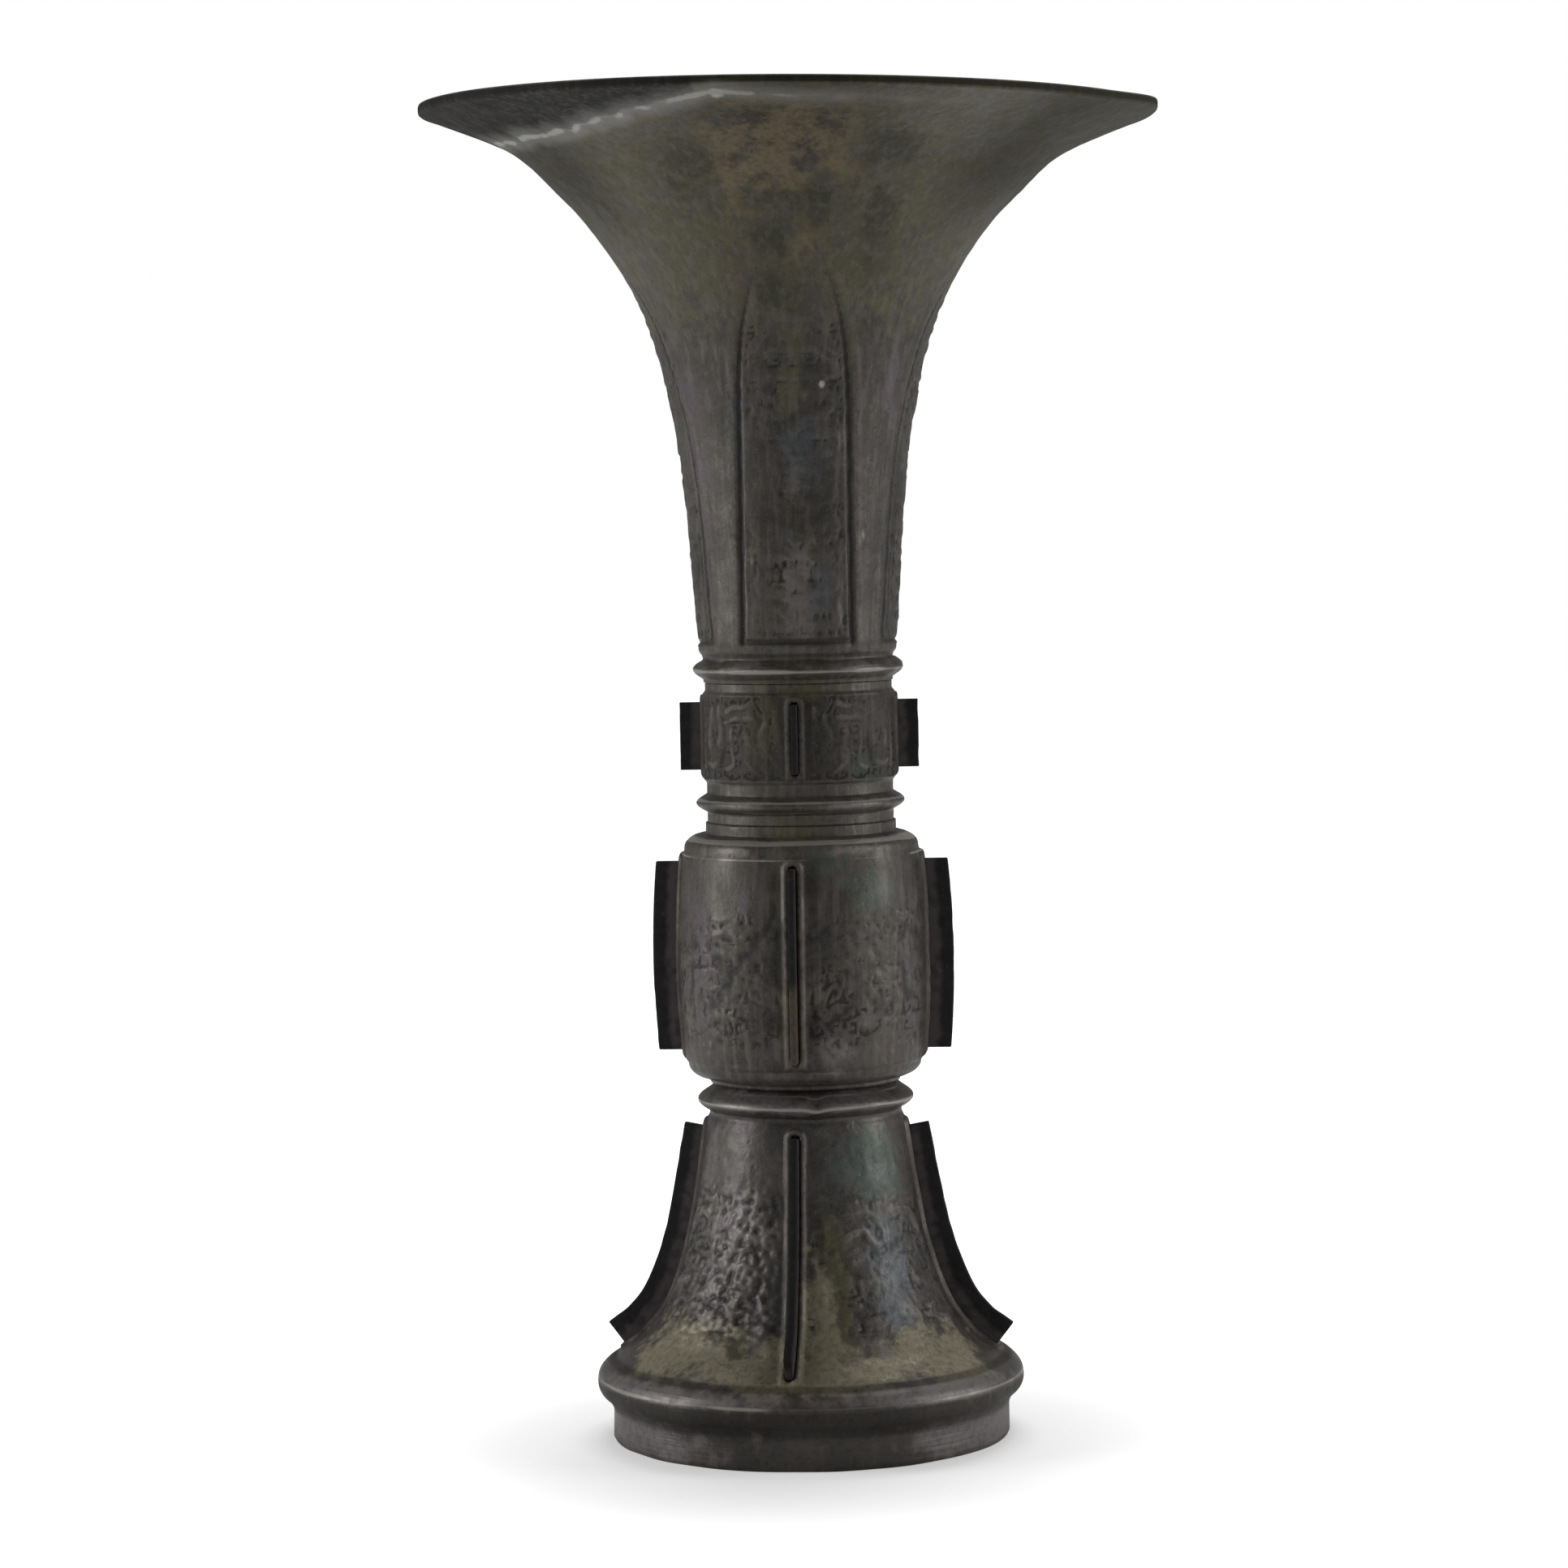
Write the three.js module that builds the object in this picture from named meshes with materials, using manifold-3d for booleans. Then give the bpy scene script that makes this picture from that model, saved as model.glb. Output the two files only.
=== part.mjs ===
// A bronze gu: a tall beaker with a trumpet mouth, a slim banded stem, a knop and a spreading foot.
// It is made of four turned castings seated on each other, a floor plate, and twelve thin flanges.
// Millimetres, +Z up. The origin is the middle of the standing face, and the front faces -Y.

import * as THREE from 'three';
import { mergeVertices } from 'three/addons/utils/BufferGeometryUtils.js';
import Module from 'manifold-3d';

const wasm = await Module();
wasm.setup();

// Facets round a full turn, and steps along a curved stretch
const FACETS = 40;
const BEAD_STEPS = 4;
const MOULDING_STEPS = 6;
const SHOULDER_STEPS = 3;
const FLARE_STEPS = 14;
const FLARE_BORE_STEPS = 9;
const FOOT_STEPS = 9;
const BELLY_STEPS = 4;
const BLADE_STEPS = 5;

// Fits between pieces
const CLEARANCE = 0.3;
const SPIGOT_HEIGHT = 5;
const SPIGOT_WALL = 1.6;
const STEM_BORE = 17.2;

// Foot casting
const FOOT_HEIGHT = 75.25;
const FOOT_RING_RADIUS = 41.9;
const FOOT_RING_HEIGHT = 7.25;
const FOOT_RING_WALL = 3;
const MOULDING_HEIGHT = 10.5;
const MOULDING_CREST = 45.1;
const FOOT_CURVE_RADIUS = 40.4;
const FOOT_STEM_RADIUS = 20.2;
const FOOT_WALL = 2.8;
const FOOT_BEAD_HEIGHT = 6;
const FOOT_BEAD_CREST = 22.8;
const FOOT_BEAD_RISE = 3.6;

// Share of the foot curve's height, and share of its spread left at that height
const FOOT_SWEEP = [
  [0, 1], [0.034, 0.89], [0.1, 0.69], [0.234, 0.458], [0.5, 0.234], [0.923, 0.055], [1, 0],
];

// Knop casting
const KNOP_HEIGHT = 54.75;
const KNOP_END_RADIUS = 25.1;
const KNOP_BELLY_RADIUS = 26.2;
const KNOP_STEM_RADIUS = 20;
const KNOP_BASE_HEIGHT = 1;
const KNOP_TOP_HEIGHT = 2.25;
const KNOP_SHOULDER_HEIGHT = 3.6;
const KNOP_BORE = 22.3;
const KNOP_CAVITY_SLOPE = 4.5;

// Floor plate that closes the vessel above the foot
const FLOOR_THICKNESS = 2.5;

// Band casting
const BAND_HEIGHT = 29.5;
const BAND_STEM_RADIUS = 19.6;
const BAND_RADIUS = 20.3;
const BAND_BEAD_HEIGHT = 4.6;
const BAND_BEAD_CREST = 21.9;
const BAND_BEAD_RISE = 4.2;
const BAND_START = 9.5;
const BAND_LENGTH = 17.25;
const BAND_EDGE = 0.6;

// Trumpet neck casting
const NECK_HEIGHT = 120.75;
const NECK_STEM_RADIUS = 19.9;
const NECK_BEAD_HEIGHT = 5.2;
const NECK_BEAD_CREST = 22.1;
const NECK_BEAD_RISE = 2.75;
const NECK_WAIST_RADIUS = 20.8;
const NECK_WAIST_RISE = 7.75;
const NECK_WALL = 2.6;
const FLARE_RADIUS = 75.4;
const LIP_RADIUS = 77.3;
const LIP_HEIGHT = 2.25;
const LIP_EDGE = 1.6;
const LIP_WIDTH = 2.8;

// Share of the flare's height, and share of its spread reached at that height
const FLARE_SWEEP = [
  [0, 0], [0.3, 0.044], [0.484, 0.103], [0.608, 0.174], [0.702, 0.266],
  [0.7945, 0.392], [0.8566, 0.509], [0.915, 0.63], [0.953, 0.76], [1, 1],
];

// Rising blades on the neck
const BLADE_HALF_WIDTH = 13.1;
const BLADE_BASE = 8.5;
const BLADE_SHOULDER = 63;
const BLADE_TIP = 99.5;
const BLADE_BEND_HEIGHT_SHARE = 0.55;
const BLADE_BEND_WIDTH_SHARE = 0.8;
const BLADE_TIP_INSET = 4.6;
const BLADE_BORDER = 1.6;
const BLADE_PROUD = 0.6;
const SKIN_DEPTH = 1;

// Flanges and the raised sockets that hold them
const SLOT_DEPTH = 1.2;
const SOCKET_RIM = 2;
const SOCKET_PROUD = 1;
const SOCKET_CAP = 1.8;
const BAND_FLANGE_THICKNESS = 1.2;
const BAND_FLANGE_REACH = 4.8;
const BAND_FLANGE_START = 11;
const BAND_FLANGE_LENGTH = 14.25;
const KNOP_FLANGE_THICKNESS = 1.3;
const KNOP_FLANGE_REACH = 5.6;
const KNOP_FLANGE_START = 6.5;
const KNOP_FLANGE_LENGTH = 40;
const FOOT_FLANGE_THICKNESS = 1.7;
const FOOT_FLANGE_LOWER_REACH = 6.2;
const FOOT_FLANGE_UPPER_REACH = 4.8;
const FOOT_FLANGE_LOWER_GAP = 1.15;
const FOOT_FLANGE_UPPER_GAP = 3.4;
const FOOT_FLANGE_STEPS = 8;

// Each casting was set a little round from the next one, in degrees
const FOOT_TURN = -2;
const KNOP_TURN = 0;
const BAND_TURN = 1.7;
const NECK_TURN = 4.4;

// Finishes
const BRONZE = { color: 0x50493f, roughness: 0.62, metalness: 0.55 };
const DARK_BRONZE = { color: 0x3a3833, roughness: 0.58, metalness: 0.55 };
const FLANGE_BRONZE = { color: 0x232220, roughness: 0.66, metalness: 0.45 };

const QUARTER_TURN = Math.PI / 2;
const SIDE_NAMES = ['front', 'right', 'back', 'left'];

// Radius and height pairs

// A round bead on a stem, from its lower edge to its upper edge
function bead(stem, crest, middle, height, steps = BEAD_STEPS) {
  return Array.from({ length: steps + 1 }, (_, step) => {
    const place = 2 * step / steps - 1;
    return [stem + (crest - stem) * (1 - place * place), middle + place * height / 2];
  });
}

// A rounded shoulder that leaves the stem and ends at the wider radius
function shoulder(stem, wide, start, end) {
  return Array.from({ length: SHOULDER_STEPS + 1 }, (_, step) => {
    const angle = QUARTER_TURN * step / SHOULDER_STEPS;
    return [
      stem + (wide - stem) * Math.sin(angle),
      start + (end - start) * (1 - Math.cos(angle)),
    ];
  });
}

// A smooth stretch through a sweep's shares, between two heights and two radii.
// The gaps are the lengths of curve left out at its lower and upper ends.
function swept(sweep, low, high, still, spread, steps, lowerGap = 0, upperGap = 0) {
  const points = sweep.map(([rise, share]) => {
    return new THREE.Vector2(still + spread * share, low + (high - low) * rise);
  });
  const curve = new THREE.SplineCurve(points);
  const start = lowerGap / curve.getLength();
  const share = 1 - (lowerGap + upperGap) / curve.getLength();
  return Array.from({ length: steps + 1 }, (_, step) => {
    const point = curve.getPointAt(start + share * step / steps);
    return [point.x, point.y];
  });
}

// The same stretch moved square to itself, outwards where the distance is positive.
// The distance can change evenly from the first point to the last.
function squareOff(points, distance, lastDistance = distance) {
  return points.map(([radius, height], index) => {
    const off = distance + (lastDistance - distance) * index / (points.length - 1);
    const before = points[Math.max(index - 1, 0)];
    const after = points[Math.min(index + 1, points.length - 1)];
    const along = new THREE.Vector2(after[0] - before[0], after[1] - before[1]).normalize();
    return [radius + along.y * off, height - along.x * off];
  });
}

// The same stretch moved level
function levelOff(points, distance) {
  return points.map(([radius, height]) => [radius + distance, height]);
}

// Solids

// A closed solid from a geometry, with its shared corners joined
function solid(geometry) {
  const plain = new THREE.BufferGeometry();
  plain.setAttribute('position', geometry.getAttribute('position').clone());
  if (geometry.index) plain.setIndex(geometry.index.clone());
  const merged = mergeVertices(plain);
  return new wasm.Manifold(new wasm.Mesh({
    numProp: 3,
    vertProperties: new Float32Array(merged.getAttribute('position').array),
    triVerts: new Uint32Array(merged.index.array),
  }));
}

// An outline turned round the axis, climbing outside and coming down inside
function turned(outline) {
  const points = outline.map(([radius, height]) => new THREE.Vector2(radius, height));
  points.push(points[0].clone());
  const geometry = new THREE.LatheGeometry(points, FACETS);
  geometry.rotateX(QUARTER_TURN);
  return solid(geometry);
}

// A plate that stands out from the axis, with its outline in radius and height
function radialPlate(outline, thickness) {
  const shape = new THREE.Shape(outline.map(([radius, height]) => new THREE.Vector2(radius, height)));
  const geometry = new THREE.ExtrudeGeometry(shape, { depth: thickness, bevelEnabled: false });
  geometry.translate(0, 0, -thickness / 2);
  geometry.rotateX(QUARTER_TURN);
  geometry.rotateZ(-QUARTER_TURN);
  return geometry;
}

// The same solid on each of the four sides
function onEachSide(body) {
  return SIDE_NAMES.map((_, side) => body.rotate([0, 0, 90 * side]));
}

function joined(body, additions) {
  return additions.reduce((whole, addition) => whole.add(addition), body);
}

function cutAway(body, cuts) {
  return cuts.reduce((whole, cut) => whole.subtract(cut), body);
}

// Meshes

function finish(look) {
  return new THREE.MeshStandardMaterial(look);
}

function piece(name, body, look) {
  const mesh = body.getMesh();
  const geometry = new THREE.BufferGeometry();
  geometry.setAttribute('position', new THREE.BufferAttribute(new Float32Array(mesh.vertProperties), 3));
  geometry.setIndex(new THREE.BufferAttribute(new Uint32Array(mesh.triVerts), 1));
  const result = new THREE.Mesh(geometry, finish(look));
  result.name = name;
  return result;
}

// The four flanges of a row, one on each side
function flanges(name, row) {
  return SIDE_NAMES.map((side, index) => {
    const flange = new THREE.Mesh(radialPlate(row.flange, row.thickness), finish(FLANGE_BRONZE));
    flange.name = `${name}_flange_${side}`;
    flange.rotation.z = index * QUARTER_TURN;
    return flange;
  });
}

// A casting with its raised sockets added and its slots cut
function socketed(body, row) {
  const slotWidth = row.thickness + 2 * CLEARANCE;
  const ridges = onEachSide(solid(radialPlate(row.socket, slotWidth + 2 * SOCKET_RIM)));
  const slots = onEachSide(solid(radialPlate(row.slot, slotWidth)));
  return cutAway(joined(body, ridges), slots);
}

// Socket, slot and flange outlines of an upright row, which stands on the floor of its slot
function uprightRow(surface, start, length, reach, thickness) {
  const face = surface(start, start + length);
  const ridge = surface(start - SOCKET_CAP, start + length + SOCKET_CAP);
  const opening = surface(start, start + length + CLEARANCE);
  return {
    thickness,
    flange: [...levelOff(face, reach), ...levelOff(face, -SLOT_DEPTH).reverse()],
    socket: [...levelOff(ridge, SOCKET_PROUD), ...levelOff(ridge, -SLOT_DEPTH).reverse()],
    slot: [...levelOff(opening, reach), ...levelOff(opening, -SLOT_DEPTH - CLEARANCE).reverse()],
  };
}

// A spigot that rises from a casting's top face into the next casting
function spigot(top) {
  const outer = STEM_BORE - CLEARANCE;
  const inner = outer - SPIGOT_WALL;
  return [[outer, top], [outer, top + SPIGOT_HEIGHT], [inner, top + SPIGOT_HEIGHT]];
}

const throat = STEM_BORE - CLEARANCE - SPIGOT_WALL;

// Foot casting: standing ring, round moulding, spreading curve and a bowstring bead
const mouldingTop = FOOT_RING_HEIGHT + MOULDING_HEIGHT;
const footBeadMiddle = FOOT_HEIGHT - FOOT_BEAD_RISE;
const footCurveTop = footBeadMiddle - FOOT_BEAD_HEIGHT / 2;

function footCurve(steps, lowerGap, upperGap) {
  const spread = FOOT_CURVE_RADIUS - FOOT_STEM_RADIUS;
  return swept(
    FOOT_SWEEP,
    mouldingTop,
    footCurveTop,
    FOOT_STEM_RADIUS,
    spread,
    steps,
    lowerGap,
    upperGap,
  );
}

function footMoulding() {
  const middle = FOOT_RING_HEIGHT + MOULDING_HEIGHT / 2;
  return bead(FOOT_RING_RADIUS, MOULDING_CREST, middle, MOULDING_HEIGHT, MOULDING_STEPS);
}

function footRow() {
  const steps = FOOT_FLANGE_STEPS;
  const face = footCurve(steps, FOOT_FLANGE_LOWER_GAP, FOOT_FLANGE_UPPER_GAP);
  const opening = footCurve(
    steps,
    FOOT_FLANGE_LOWER_GAP - CLEARANCE,
    FOOT_FLANGE_UPPER_GAP - CLEARANCE,
  );
  const ridge = footCurve(steps, 0, FOOT_FLANGE_UPPER_GAP - SOCKET_CAP);
  return {
    thickness: FOOT_FLANGE_THICKNESS,
    flange: [
      ...squareOff(face, FOOT_FLANGE_LOWER_REACH, FOOT_FLANGE_UPPER_REACH),
      ...squareOff(face, -SLOT_DEPTH).reverse(),
    ],
    socket: [...squareOff(ridge, SOCKET_PROUD), ...squareOff(ridge, -SLOT_DEPTH).reverse()],
    slot: [
      ...squareOff(opening, FOOT_FLANGE_LOWER_REACH, FOOT_FLANGE_UPPER_REACH),
      ...squareOff(opening, -SLOT_DEPTH - CLEARANCE).reverse(),
    ],
  };
}

function footCasting(row) {
  const ringBore = FOOT_RING_RADIUS - FOOT_RING_WALL;
  const bore = squareOff(footCurve(FOOT_STEPS), -FOOT_WALL).reverse();
  const outline = [
    [FOOT_RING_RADIUS, 0],
    ...footMoulding(),
    ...footCurve(FOOT_STEPS),
    ...bead(FOOT_STEM_RADIUS, FOOT_BEAD_CREST, footBeadMiddle, FOOT_BEAD_HEIGHT).slice(1),
    [FOOT_STEM_RADIUS, FOOT_HEIGHT],
    ...spigot(FOOT_HEIGHT),
    [throat, footBeadMiddle],
    ...bore,
    [ringBore, FOOT_RING_HEIGHT],
    [ringBore, 0],
  ];
  return socketed(turned(outline), row);
}

// Knop casting: a barrel between two shoulders, hollow above the floor plate
const bellyStart = KNOP_BASE_HEIGHT + KNOP_SHOULDER_HEIGHT;
const bellyEnd = KNOP_HEIGHT - KNOP_TOP_HEIGHT - KNOP_SHOULDER_HEIGHT;

function knopRadius(height) {
  const place = (2 * height - bellyStart - bellyEnd) / (bellyEnd - bellyStart);
  return KNOP_END_RADIUS + (KNOP_BELLY_RADIUS - KNOP_END_RADIUS) * (1 - place * place);
}

function knopFace(start, end) {
  return Array.from({ length: BELLY_STEPS + 1 }, (_, step) => {
    const height = start + (end - start) * step / BELLY_STEPS;
    return [knopRadius(height), height];
  });
}

function knopCasting(row) {
  const floorTop = SPIGOT_HEIGHT + FLOOR_THICKNESS + CLEARANCE;
  const cavityTop = bellyEnd - KNOP_CAVITY_SLOPE;
  const topShoulder = shoulder(KNOP_STEM_RADIUS, KNOP_END_RADIUS, KNOP_HEIGHT - KNOP_TOP_HEIGHT, bellyEnd);
  const outline = [
    [KNOP_STEM_RADIUS, 0],
    ...shoulder(KNOP_STEM_RADIUS, KNOP_END_RADIUS, KNOP_BASE_HEIGHT, bellyStart),
    ...knopFace(bellyStart, bellyEnd).slice(1),
    ...topShoulder.reverse().slice(1),
    [KNOP_STEM_RADIUS, KNOP_HEIGHT],
    ...spigot(KNOP_HEIGHT),
    [throat, bellyEnd],
    [KNOP_BORE, cavityTop],
    [KNOP_BORE, floorTop + KNOP_CAVITY_SLOPE],
    [STEM_BORE, floorTop],
    [STEM_BORE, 0],
  ];
  return socketed(turned(outline), row);
}

// Band casting: a bowstring bead below a plain band
function bandFace(start, end) {
  return [[BAND_RADIUS, start], [BAND_RADIUS, end]];
}

function bandCasting(row) {
  const bandEnd = BAND_START + BAND_LENGTH;
  const outline = [
    [BAND_STEM_RADIUS, 0],
    ...bead(BAND_STEM_RADIUS, BAND_BEAD_CREST, BAND_BEAD_RISE, BAND_BEAD_HEIGHT),
    [BAND_STEM_RADIUS, BAND_START - BAND_EDGE],
    ...bandFace(BAND_START, bandEnd),
    [BAND_STEM_RADIUS, bandEnd + BAND_EDGE],
    [BAND_STEM_RADIUS, BAND_HEIGHT],
    ...spigot(BAND_HEIGHT),
    [throat, SPIGOT_HEIGHT + CLEARANCE],
    [STEM_BORE, SPIGOT_HEIGHT + CLEARANCE],
    [STEM_BORE, 0],
  ];
  return socketed(turned(outline), row);
}

// Trumpet neck: a bowstring bead, the flare with its four blades, and a square lip
function flare(steps) {
  const top = NECK_HEIGHT - LIP_HEIGHT;
  const spread = FLARE_RADIUS - NECK_WAIST_RADIUS;
  return swept(FLARE_SWEEP, NECK_WAIST_RISE, top, NECK_WAIST_RADIUS, spread, steps);
}

function bladeOutline(half, base, tip) {
  const bendHeight = BLADE_SHOULDER + (tip - BLADE_SHOULDER) * BLADE_BEND_HEIGHT_SHARE;
  const bendWidth = half * BLADE_BEND_WIDTH_SHARE;
  const shape = new THREE.Shape();
  shape.moveTo(-half, base);
  shape.lineTo(half, base);
  shape.lineTo(half, BLADE_SHOULDER);
  shape.quadraticCurveTo(bendWidth, bendHeight, 0, tip);
  shape.quadraticCurveTo(-bendWidth, bendHeight, -half, BLADE_SHOULDER);
  return shape;
}

function bladeBorder() {
  const shape = bladeOutline(BLADE_HALF_WIDTH, BLADE_BASE, BLADE_TIP);
  const field = bladeOutline(
    BLADE_HALF_WIDTH - BLADE_BORDER,
    BLADE_BASE + BLADE_BORDER,
    BLADE_TIP - BLADE_TIP_INSET,
  );
  shape.holes.push(new THREE.Path(field.getPoints(BLADE_STEPS).reverse()));
  const settings = { depth: LIP_RADIUS, bevelEnabled: false, curveSegments: BLADE_STEPS };
  const geometry = new THREE.ExtrudeGeometry(shape, settings);
  geometry.rotateX(QUARTER_TURN);
  const face = flare(FLARE_STEPS);
  const skin = turned([...squareOff(face, BLADE_PROUD), ...squareOff(face, -SKIN_DEPTH).reverse()]);
  return solid(geometry).intersect(skin);
}

function neckCasting() {
  const bore = squareOff(flare(FLARE_BORE_STEPS), -NECK_WALL)
    .filter(([, height]) => height < NECK_HEIGHT - LIP_EDGE / 2);
  const outline = [
    [NECK_STEM_RADIUS, 0],
    ...bead(NECK_STEM_RADIUS, NECK_BEAD_CREST, NECK_BEAD_RISE, NECK_BEAD_HEIGHT),
    ...flare(FLARE_STEPS),
    [LIP_RADIUS, NECK_HEIGHT - LIP_EDGE],
    [LIP_RADIUS, NECK_HEIGHT],
    [LIP_RADIUS - LIP_WIDTH, NECK_HEIGHT],
    ...bore.reverse(),
    [STEM_BORE, SPIGOT_HEIGHT + CLEARANCE],
    [STEM_BORE, 0],
  ];
  return joined(turned(outline), onEachSide(bladeBorder()));
}

// Assembly

function casting(height, turn, meshes) {
  const group = new THREE.Group();
  group.position.z = height;
  group.rotation.z = THREE.MathUtils.degToRad(turn);
  group.add(...meshes);
  return group;
}

function floorPlate() {
  const radius = STEM_BORE - CLEARANCE;
  const geometry = new THREE.CylinderGeometry(radius, radius, FLOOR_THICKNESS, FACETS);
  geometry.rotateX(QUARTER_TURN);
  geometry.translate(0, 0, SPIGOT_HEIGHT + FLOOR_THICKNESS / 2);
  const plate = new THREE.Mesh(geometry, finish(DARK_BRONZE));
  plate.name = 'floor_plate';
  return plate;
}

const foot = footRow();
const knop = uprightRow(
  knopFace,
  KNOP_FLANGE_START,
  KNOP_FLANGE_LENGTH,
  KNOP_FLANGE_REACH,
  KNOP_FLANGE_THICKNESS,
);
const band = uprightRow(
  bandFace,
  BAND_FLANGE_START,
  BAND_FLANGE_LENGTH,
  BAND_FLANGE_REACH,
  BAND_FLANGE_THICKNESS,
);

const gu = new THREE.Group();
gu.add(
  casting(0, FOOT_TURN, [
    piece('foot', footCasting(foot), DARK_BRONZE),
    ...flanges('foot', foot),
  ]),
  casting(FOOT_HEIGHT, KNOP_TURN, [
    piece('knop', knopCasting(knop), BRONZE),
    floorPlate(),
    ...flanges('knop', knop),
  ]),
  casting(FOOT_HEIGHT + KNOP_HEIGHT, BAND_TURN, [
    piece('neck_band', bandCasting(band), BRONZE),
    ...flanges('band', band),
  ]),
  casting(FOOT_HEIGHT + KNOP_HEIGHT + BAND_HEIGHT, NECK_TURN, [
    piece('trumpet_neck', neckCasting(), BRONZE),
  ]),
);

export default gu;
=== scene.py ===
# A bronze gu vase in a plain pale studio.
# Blender works in metres. Sizes here are millimetres and degrees, and MM turns them into metres.
# Azimuth 0 faces -Y, and grows towards +X.

import math

import bpy
import numpy as np
from mathutils import Matrix, Vector


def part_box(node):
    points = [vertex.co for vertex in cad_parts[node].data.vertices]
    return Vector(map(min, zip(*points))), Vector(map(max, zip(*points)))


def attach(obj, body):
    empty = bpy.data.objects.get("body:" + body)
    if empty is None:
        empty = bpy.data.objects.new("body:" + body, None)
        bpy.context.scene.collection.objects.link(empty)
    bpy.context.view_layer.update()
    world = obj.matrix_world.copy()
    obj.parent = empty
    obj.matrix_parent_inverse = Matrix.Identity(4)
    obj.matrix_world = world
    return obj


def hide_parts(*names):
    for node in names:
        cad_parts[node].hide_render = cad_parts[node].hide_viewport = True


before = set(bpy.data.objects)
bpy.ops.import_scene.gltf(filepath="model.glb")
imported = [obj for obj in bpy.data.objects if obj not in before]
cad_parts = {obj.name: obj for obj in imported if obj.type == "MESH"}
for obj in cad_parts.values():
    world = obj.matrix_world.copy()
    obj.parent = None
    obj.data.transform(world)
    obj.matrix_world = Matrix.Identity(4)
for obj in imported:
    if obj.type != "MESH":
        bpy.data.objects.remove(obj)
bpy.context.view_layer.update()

MM = 0.001
BODY = "root"

# Mesh fineness, and the distance under which two points are one
MOST_FACES = 98000
FINEST_COLUMNS = 480
DRAWING_CELL = 0.1
STROKE_STEP = 0.7
CURVE_STEP = 0.25
SAME_POINT = 0.02
FAR_OFF = 99.0
ROW_FINE = 0.4
ROW_PLAIN = 0.7
ROW_HIDDEN = 3.0

# Heights of the joins between the castings
KNOP_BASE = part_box("knop")[0].z / MM
BAND_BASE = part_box("neck_band")[0].z / MM
NECK_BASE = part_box("trumpet_neck")[0].z / MM
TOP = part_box("trumpet_neck")[1].z / MM

# How far each casting is turned from the front
FOOT_TURN = -2
KNOP_TURN = 0
BAND_TURN = 1.7
NECK_TURN = 4.4

# Spigots and bores
SPIGOT_HEIGHT = 5
SPIGOT_RADIUS = 16.9
THROAT_RADIUS = 15.3
STEM_BORE = 17.2
CLEARANCE = 0.3

# Foot
RING_RADIUS = 41.9
RING_BORE = 38.9
RING_HEIGHT = 7.25
RING_EDGE = 0.5
MOULDING_TOP = 17.75
MOULDING = [
    (41.9, 6.2), (42.2, 7.3), (43, 8.6), (44.2, 9.7), (44.9, 10.9), (45.1, 12.2), (44.9, 13.7), (44.3, 14.8),
    (43.2, 15.9), (41.9, 16.8),
]
FOOT_RADIUS = 40.4
FOOT_STEM = 20.2
FOOT_WALL = 2.8
FOOT_BEAD_CREST = 22.8
FOOT_BEAD_HEIGHT = 4.8
FOOT_CURVE_GAP = 3
FOOT_BEAD_RISE = 3.6
FOOT_SWEEP = [
    (0, 1), (0.034, 0.89), (0.1, 0.69), (0.234, 0.458), (0.5, 0.234), (0.923, 0.055), (1, 0),
]

# How sharply the rings crest: 1 is a plain parabola
BEAD_SHARPNESS = 1.35

# Knop
KNOP_STEM = 20
KNOP_SHOULDER = 24.6
KNOP_END = 25.2
KNOP_BELLY = 26.2
KNOP_BORE = 22.3
KNOP_BASE_LIP = 1
KNOP_TOP_LIP = 2.25
KNOP_SHOULDER_RISE = 2.9
KNOP_STEP_LOW = 5.1
KNOP_STEP_HIGH = 46.7
KNOP_FLOOR_TOP = 7.8
KNOP_SLOPE = 4.5
KNOP_RELIEF_TOP = 112

# Band
BAND_STEM = 19.6
BAND_RADIUS = 20.3
BAND_BEAD_CREST = 21.9
BAND_BEAD_HEIGHT = 4
BAND_BEAD_RISE = 4.2
BAND_START = 9.5
BAND_END = 26.75
BAND_EDGE = 1.2
# Painted shade over the band's face
BAND_SHADE = 0.55

# Trumpet neck
NECK_STEM = 19.9
NECK_BEAD_CREST = 22.1
NECK_BEAD_HEIGHT = 4.3
NECK_BEAD_RISE = 2.75
NECK_WAIST = 20.8
NECK_WAIST_RISE = 7.75
NECK_WALL = 2.6
FLARE_RADIUS = 75.4
LIP_RADIUS = 76.95
LIP_HEIGHT = 2.25
LIP_ROUND = 0.45
LIP_WIDTH = 2.8
RIM_SAG = 1.34
RIM_LIFT = 1.1
RIM_SAG_START = 235
FLARE_SWEEP = [
    (0, 0), (0.3, 0.044), (0.484, 0.103), (0.608, 0.174), (0.702, 0.266),
    (0.7945, 0.392), (0.8566, 0.509), (0.915, 0.63), (0.953, 0.76), (1, 1),
]

# Rising blades on the neck, as distance from the blade's middle and height on the neck
BLADE_EDGE = [
    (11.2, 8.6), (11.2, 30), (11.2, 56), (11, 64), (10.2, 73), (8.2, 81.5), (4.8, 89.5), (0, 94.5),
]
BLADE_BASE = 8.6
BLADE_GROOVE = 0.5
BLADE_RIDGE = 1.1
BLADE_RIDGE_OFFSET = 1.5
BLADE_FADE_START = 58
BLADE_FADE_END = 88
BLADE_SIDE_LONGER = 12
BLADE_FIELD_INSET = 0.9
# Painted shade in each blade's field
BLADE_SHADE = 0.1
BLADE_WORN_FROM = -10.6
BLADE_WORN_TO = -5.4

# Relief: how high a drawing stands on each casting, and how far a sheet is warped
FOOT_RELIEF = 0.24
KNOP_RELIEF = 0.2
BAND_RELIEF = 0.2
BLADE_RELIEF = 0.3
SHEET_WARP = 0.38
FOOT_SHEET_WIDTH = 36

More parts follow.
